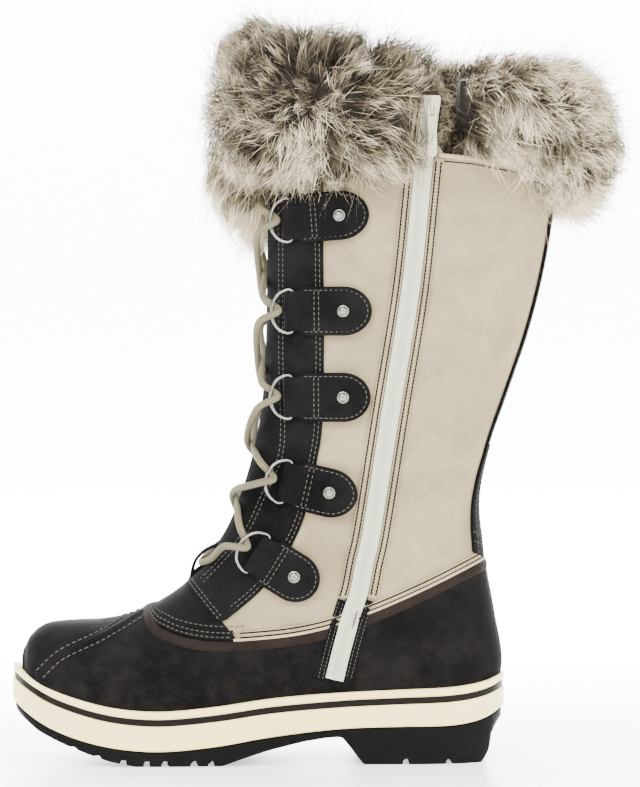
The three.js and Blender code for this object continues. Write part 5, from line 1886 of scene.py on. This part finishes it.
class BOOT_OT_stage(bpy.types.Operator):
    """Pale floor that curves up behind, soft lights and the camera."""

    bl_idname, bl_label = "boot.stage", "Stage"

    def execute(self, context):
        scene = context.scene
        floor, n, shader, where = blank("Studio floor")
        tint = tuple(colours().floor)
        smear = n.span(n.noise(where, 3.0, 3.0), 0.3, 0.7, 0.26, 0.34)
        feed(n, shader, n.mix(n.noise(where, 5.0), shade(tint, 0.985), tint), smear)
        shader.inputs["Specular IOR Level"].default_value = 0.3
        far = n.math("MULTIPLY", n.add("SeparateXYZ", {"Vector": where}).outputs[1], -1.0)
        glow = n.mix(n.span(far, -0.05, 0.9), (0.1, 0.1, 0.1, 1), (1, 1, 1, 1))
        n.tree.links.new(glow, shader.inputs["Emission Color"])
        shader.inputs["Emission Strength"].default_value = GLOW
        swing = np.linspace(0, np.pi / 2, 24)
        bend = np.stack([BACK_Y - BEND * np.sin(swing), BEND - BEND * np.cos(swing)], -1)
        profile = np.concatenate([[[FRONT_Y, 0], [0, 0]], bend, [[BACK_Y - BEND, BACK_TOP]]])
        x = np.linspace(-FLOOR_HALF, FLOOR_HALF, 5)
        points = np.stack(np.broadcast_arrays(x[None, :], profile[:, :1], profile[:, 1:]), -1)
        sweep_floor = Shape().grid(points).make("studio_floor", floor, away=(0, 0.5, -3))

        for name, place, aim, power, wide, tall in (
            ("key_light", (0.9, 1.7, 1.5), (0.05, 0, 0.2), 75, 1.4, 1.2),
            ("fill_light", (-1.4, 1.3, 0.9), (0.05, 0, 0.2), 45, 1.6, 1.4),
            ("top_light", (0.1, -0.1, 2.2), (0.05, 0, 0.1), 65, 1.8, 1.6),
            ("back_light", (0.2, -1.5, 1.2), (0.05, 0, 0.3), 14, 1.8, 1.0),
        ):
            data = bpy.data.lights.new(name, "AREA")
            data.shape, data.size, data.size_y, data.energy = "RECTANGLE", wide, tall, power
            lamp = bpy.data.objects.new(name, data)
            lamp.location = place
            lamp.rotation_euler = (Vector(aim) - Vector(place)).to_track_quat("-Z", "Y").to_euler()
            scene.collection.objects.link(lamp)

        world = bpy.data.worlds.new("Studio")
        world.use_nodes = True
        sky = world.node_tree.nodes["Background"].inputs
        sky["Color"].default_value, sky["Strength"].default_value = (1, 1, 1, 1), WORLD_LIGHT
        scene.world = world

        data = bpy.data.cameras.new("camera")
        data.sensor_width, data.lens = SENSOR, SENSOR * FOCUS_AWAY / FOCUS_WIDE
        camera = bpy.data.objects.new("camera", data)
        camera.location = CAMERA_PLACE
        camera.rotation_euler = (np.pi / 2, 0, np.pi)
        scene.collection.objects.link(camera)
        scene.camera = camera
        return {"FINISHED"}


# ---- panel and run ----------------------------------------------------------------------

OPERATORS = (
    BOOT_OT_outsole, BOOT_OT_midsole, BOOT_OT_insole, BOOT_OT_upper, BOOT_OT_vamp, BOOT_OT_tongue,
    BOOT_OT_shell, BOOT_OT_binding, BOOT_OT_facings, BOOT_OT_heel, BOOT_OT_tabs, BOOT_OT_rings,
    BOOT_OT_lace, BOOT_OT_zip, BOOT_OT_slider, BOOT_OT_fur, BOOT_OT_stage,
)


class BOOT_PT_panel(bpy.types.Panel):
    """The boot's sizes, colours and building steps."""

    bl_idname, bl_label = "BOOT_PT_panel", "Winter boot"
    bl_space_type, bl_region_type, bl_category = "VIEW_3D", "UI", "Boot"

    def draw(self, context):
        for step in OPERATORS:
            self.layout.operator(step.bl_idname, text=step.bl_label)
        for settings in (context.scene.boot_sizes, context.scene.boot_colours):
            box = self.layout.box()
            for key in settings.__annotations__:
                box.prop(settings, key)


CLASSES = (BootSizes, BootColours, *OPERATORS, BOOT_PT_panel)


def register():
    for one in CLASSES:
        bpy.utils.register_class(one)
    bpy.types.Scene.boot_sizes = PointerProperty(type=BootSizes)
    bpy.types.Scene.boot_colours = PointerProperty(type=BootColours)


def unregister():
    del bpy.types.Scene.boot_colours
    del bpy.types.Scene.boot_sizes
    for one in reversed(CLASSES):
        bpy.utils.unregister_class(one)


def main():
    register()
    for step in OPERATORS:
        group_name, name = step.bl_idname.split(".")
        if getattr(getattr(bpy.ops, group_name), name)() != {"FINISHED"}:
            raise RuntimeError(f"{step.bl_label} didn't finish")


if __name__ == "__main__":
    main()
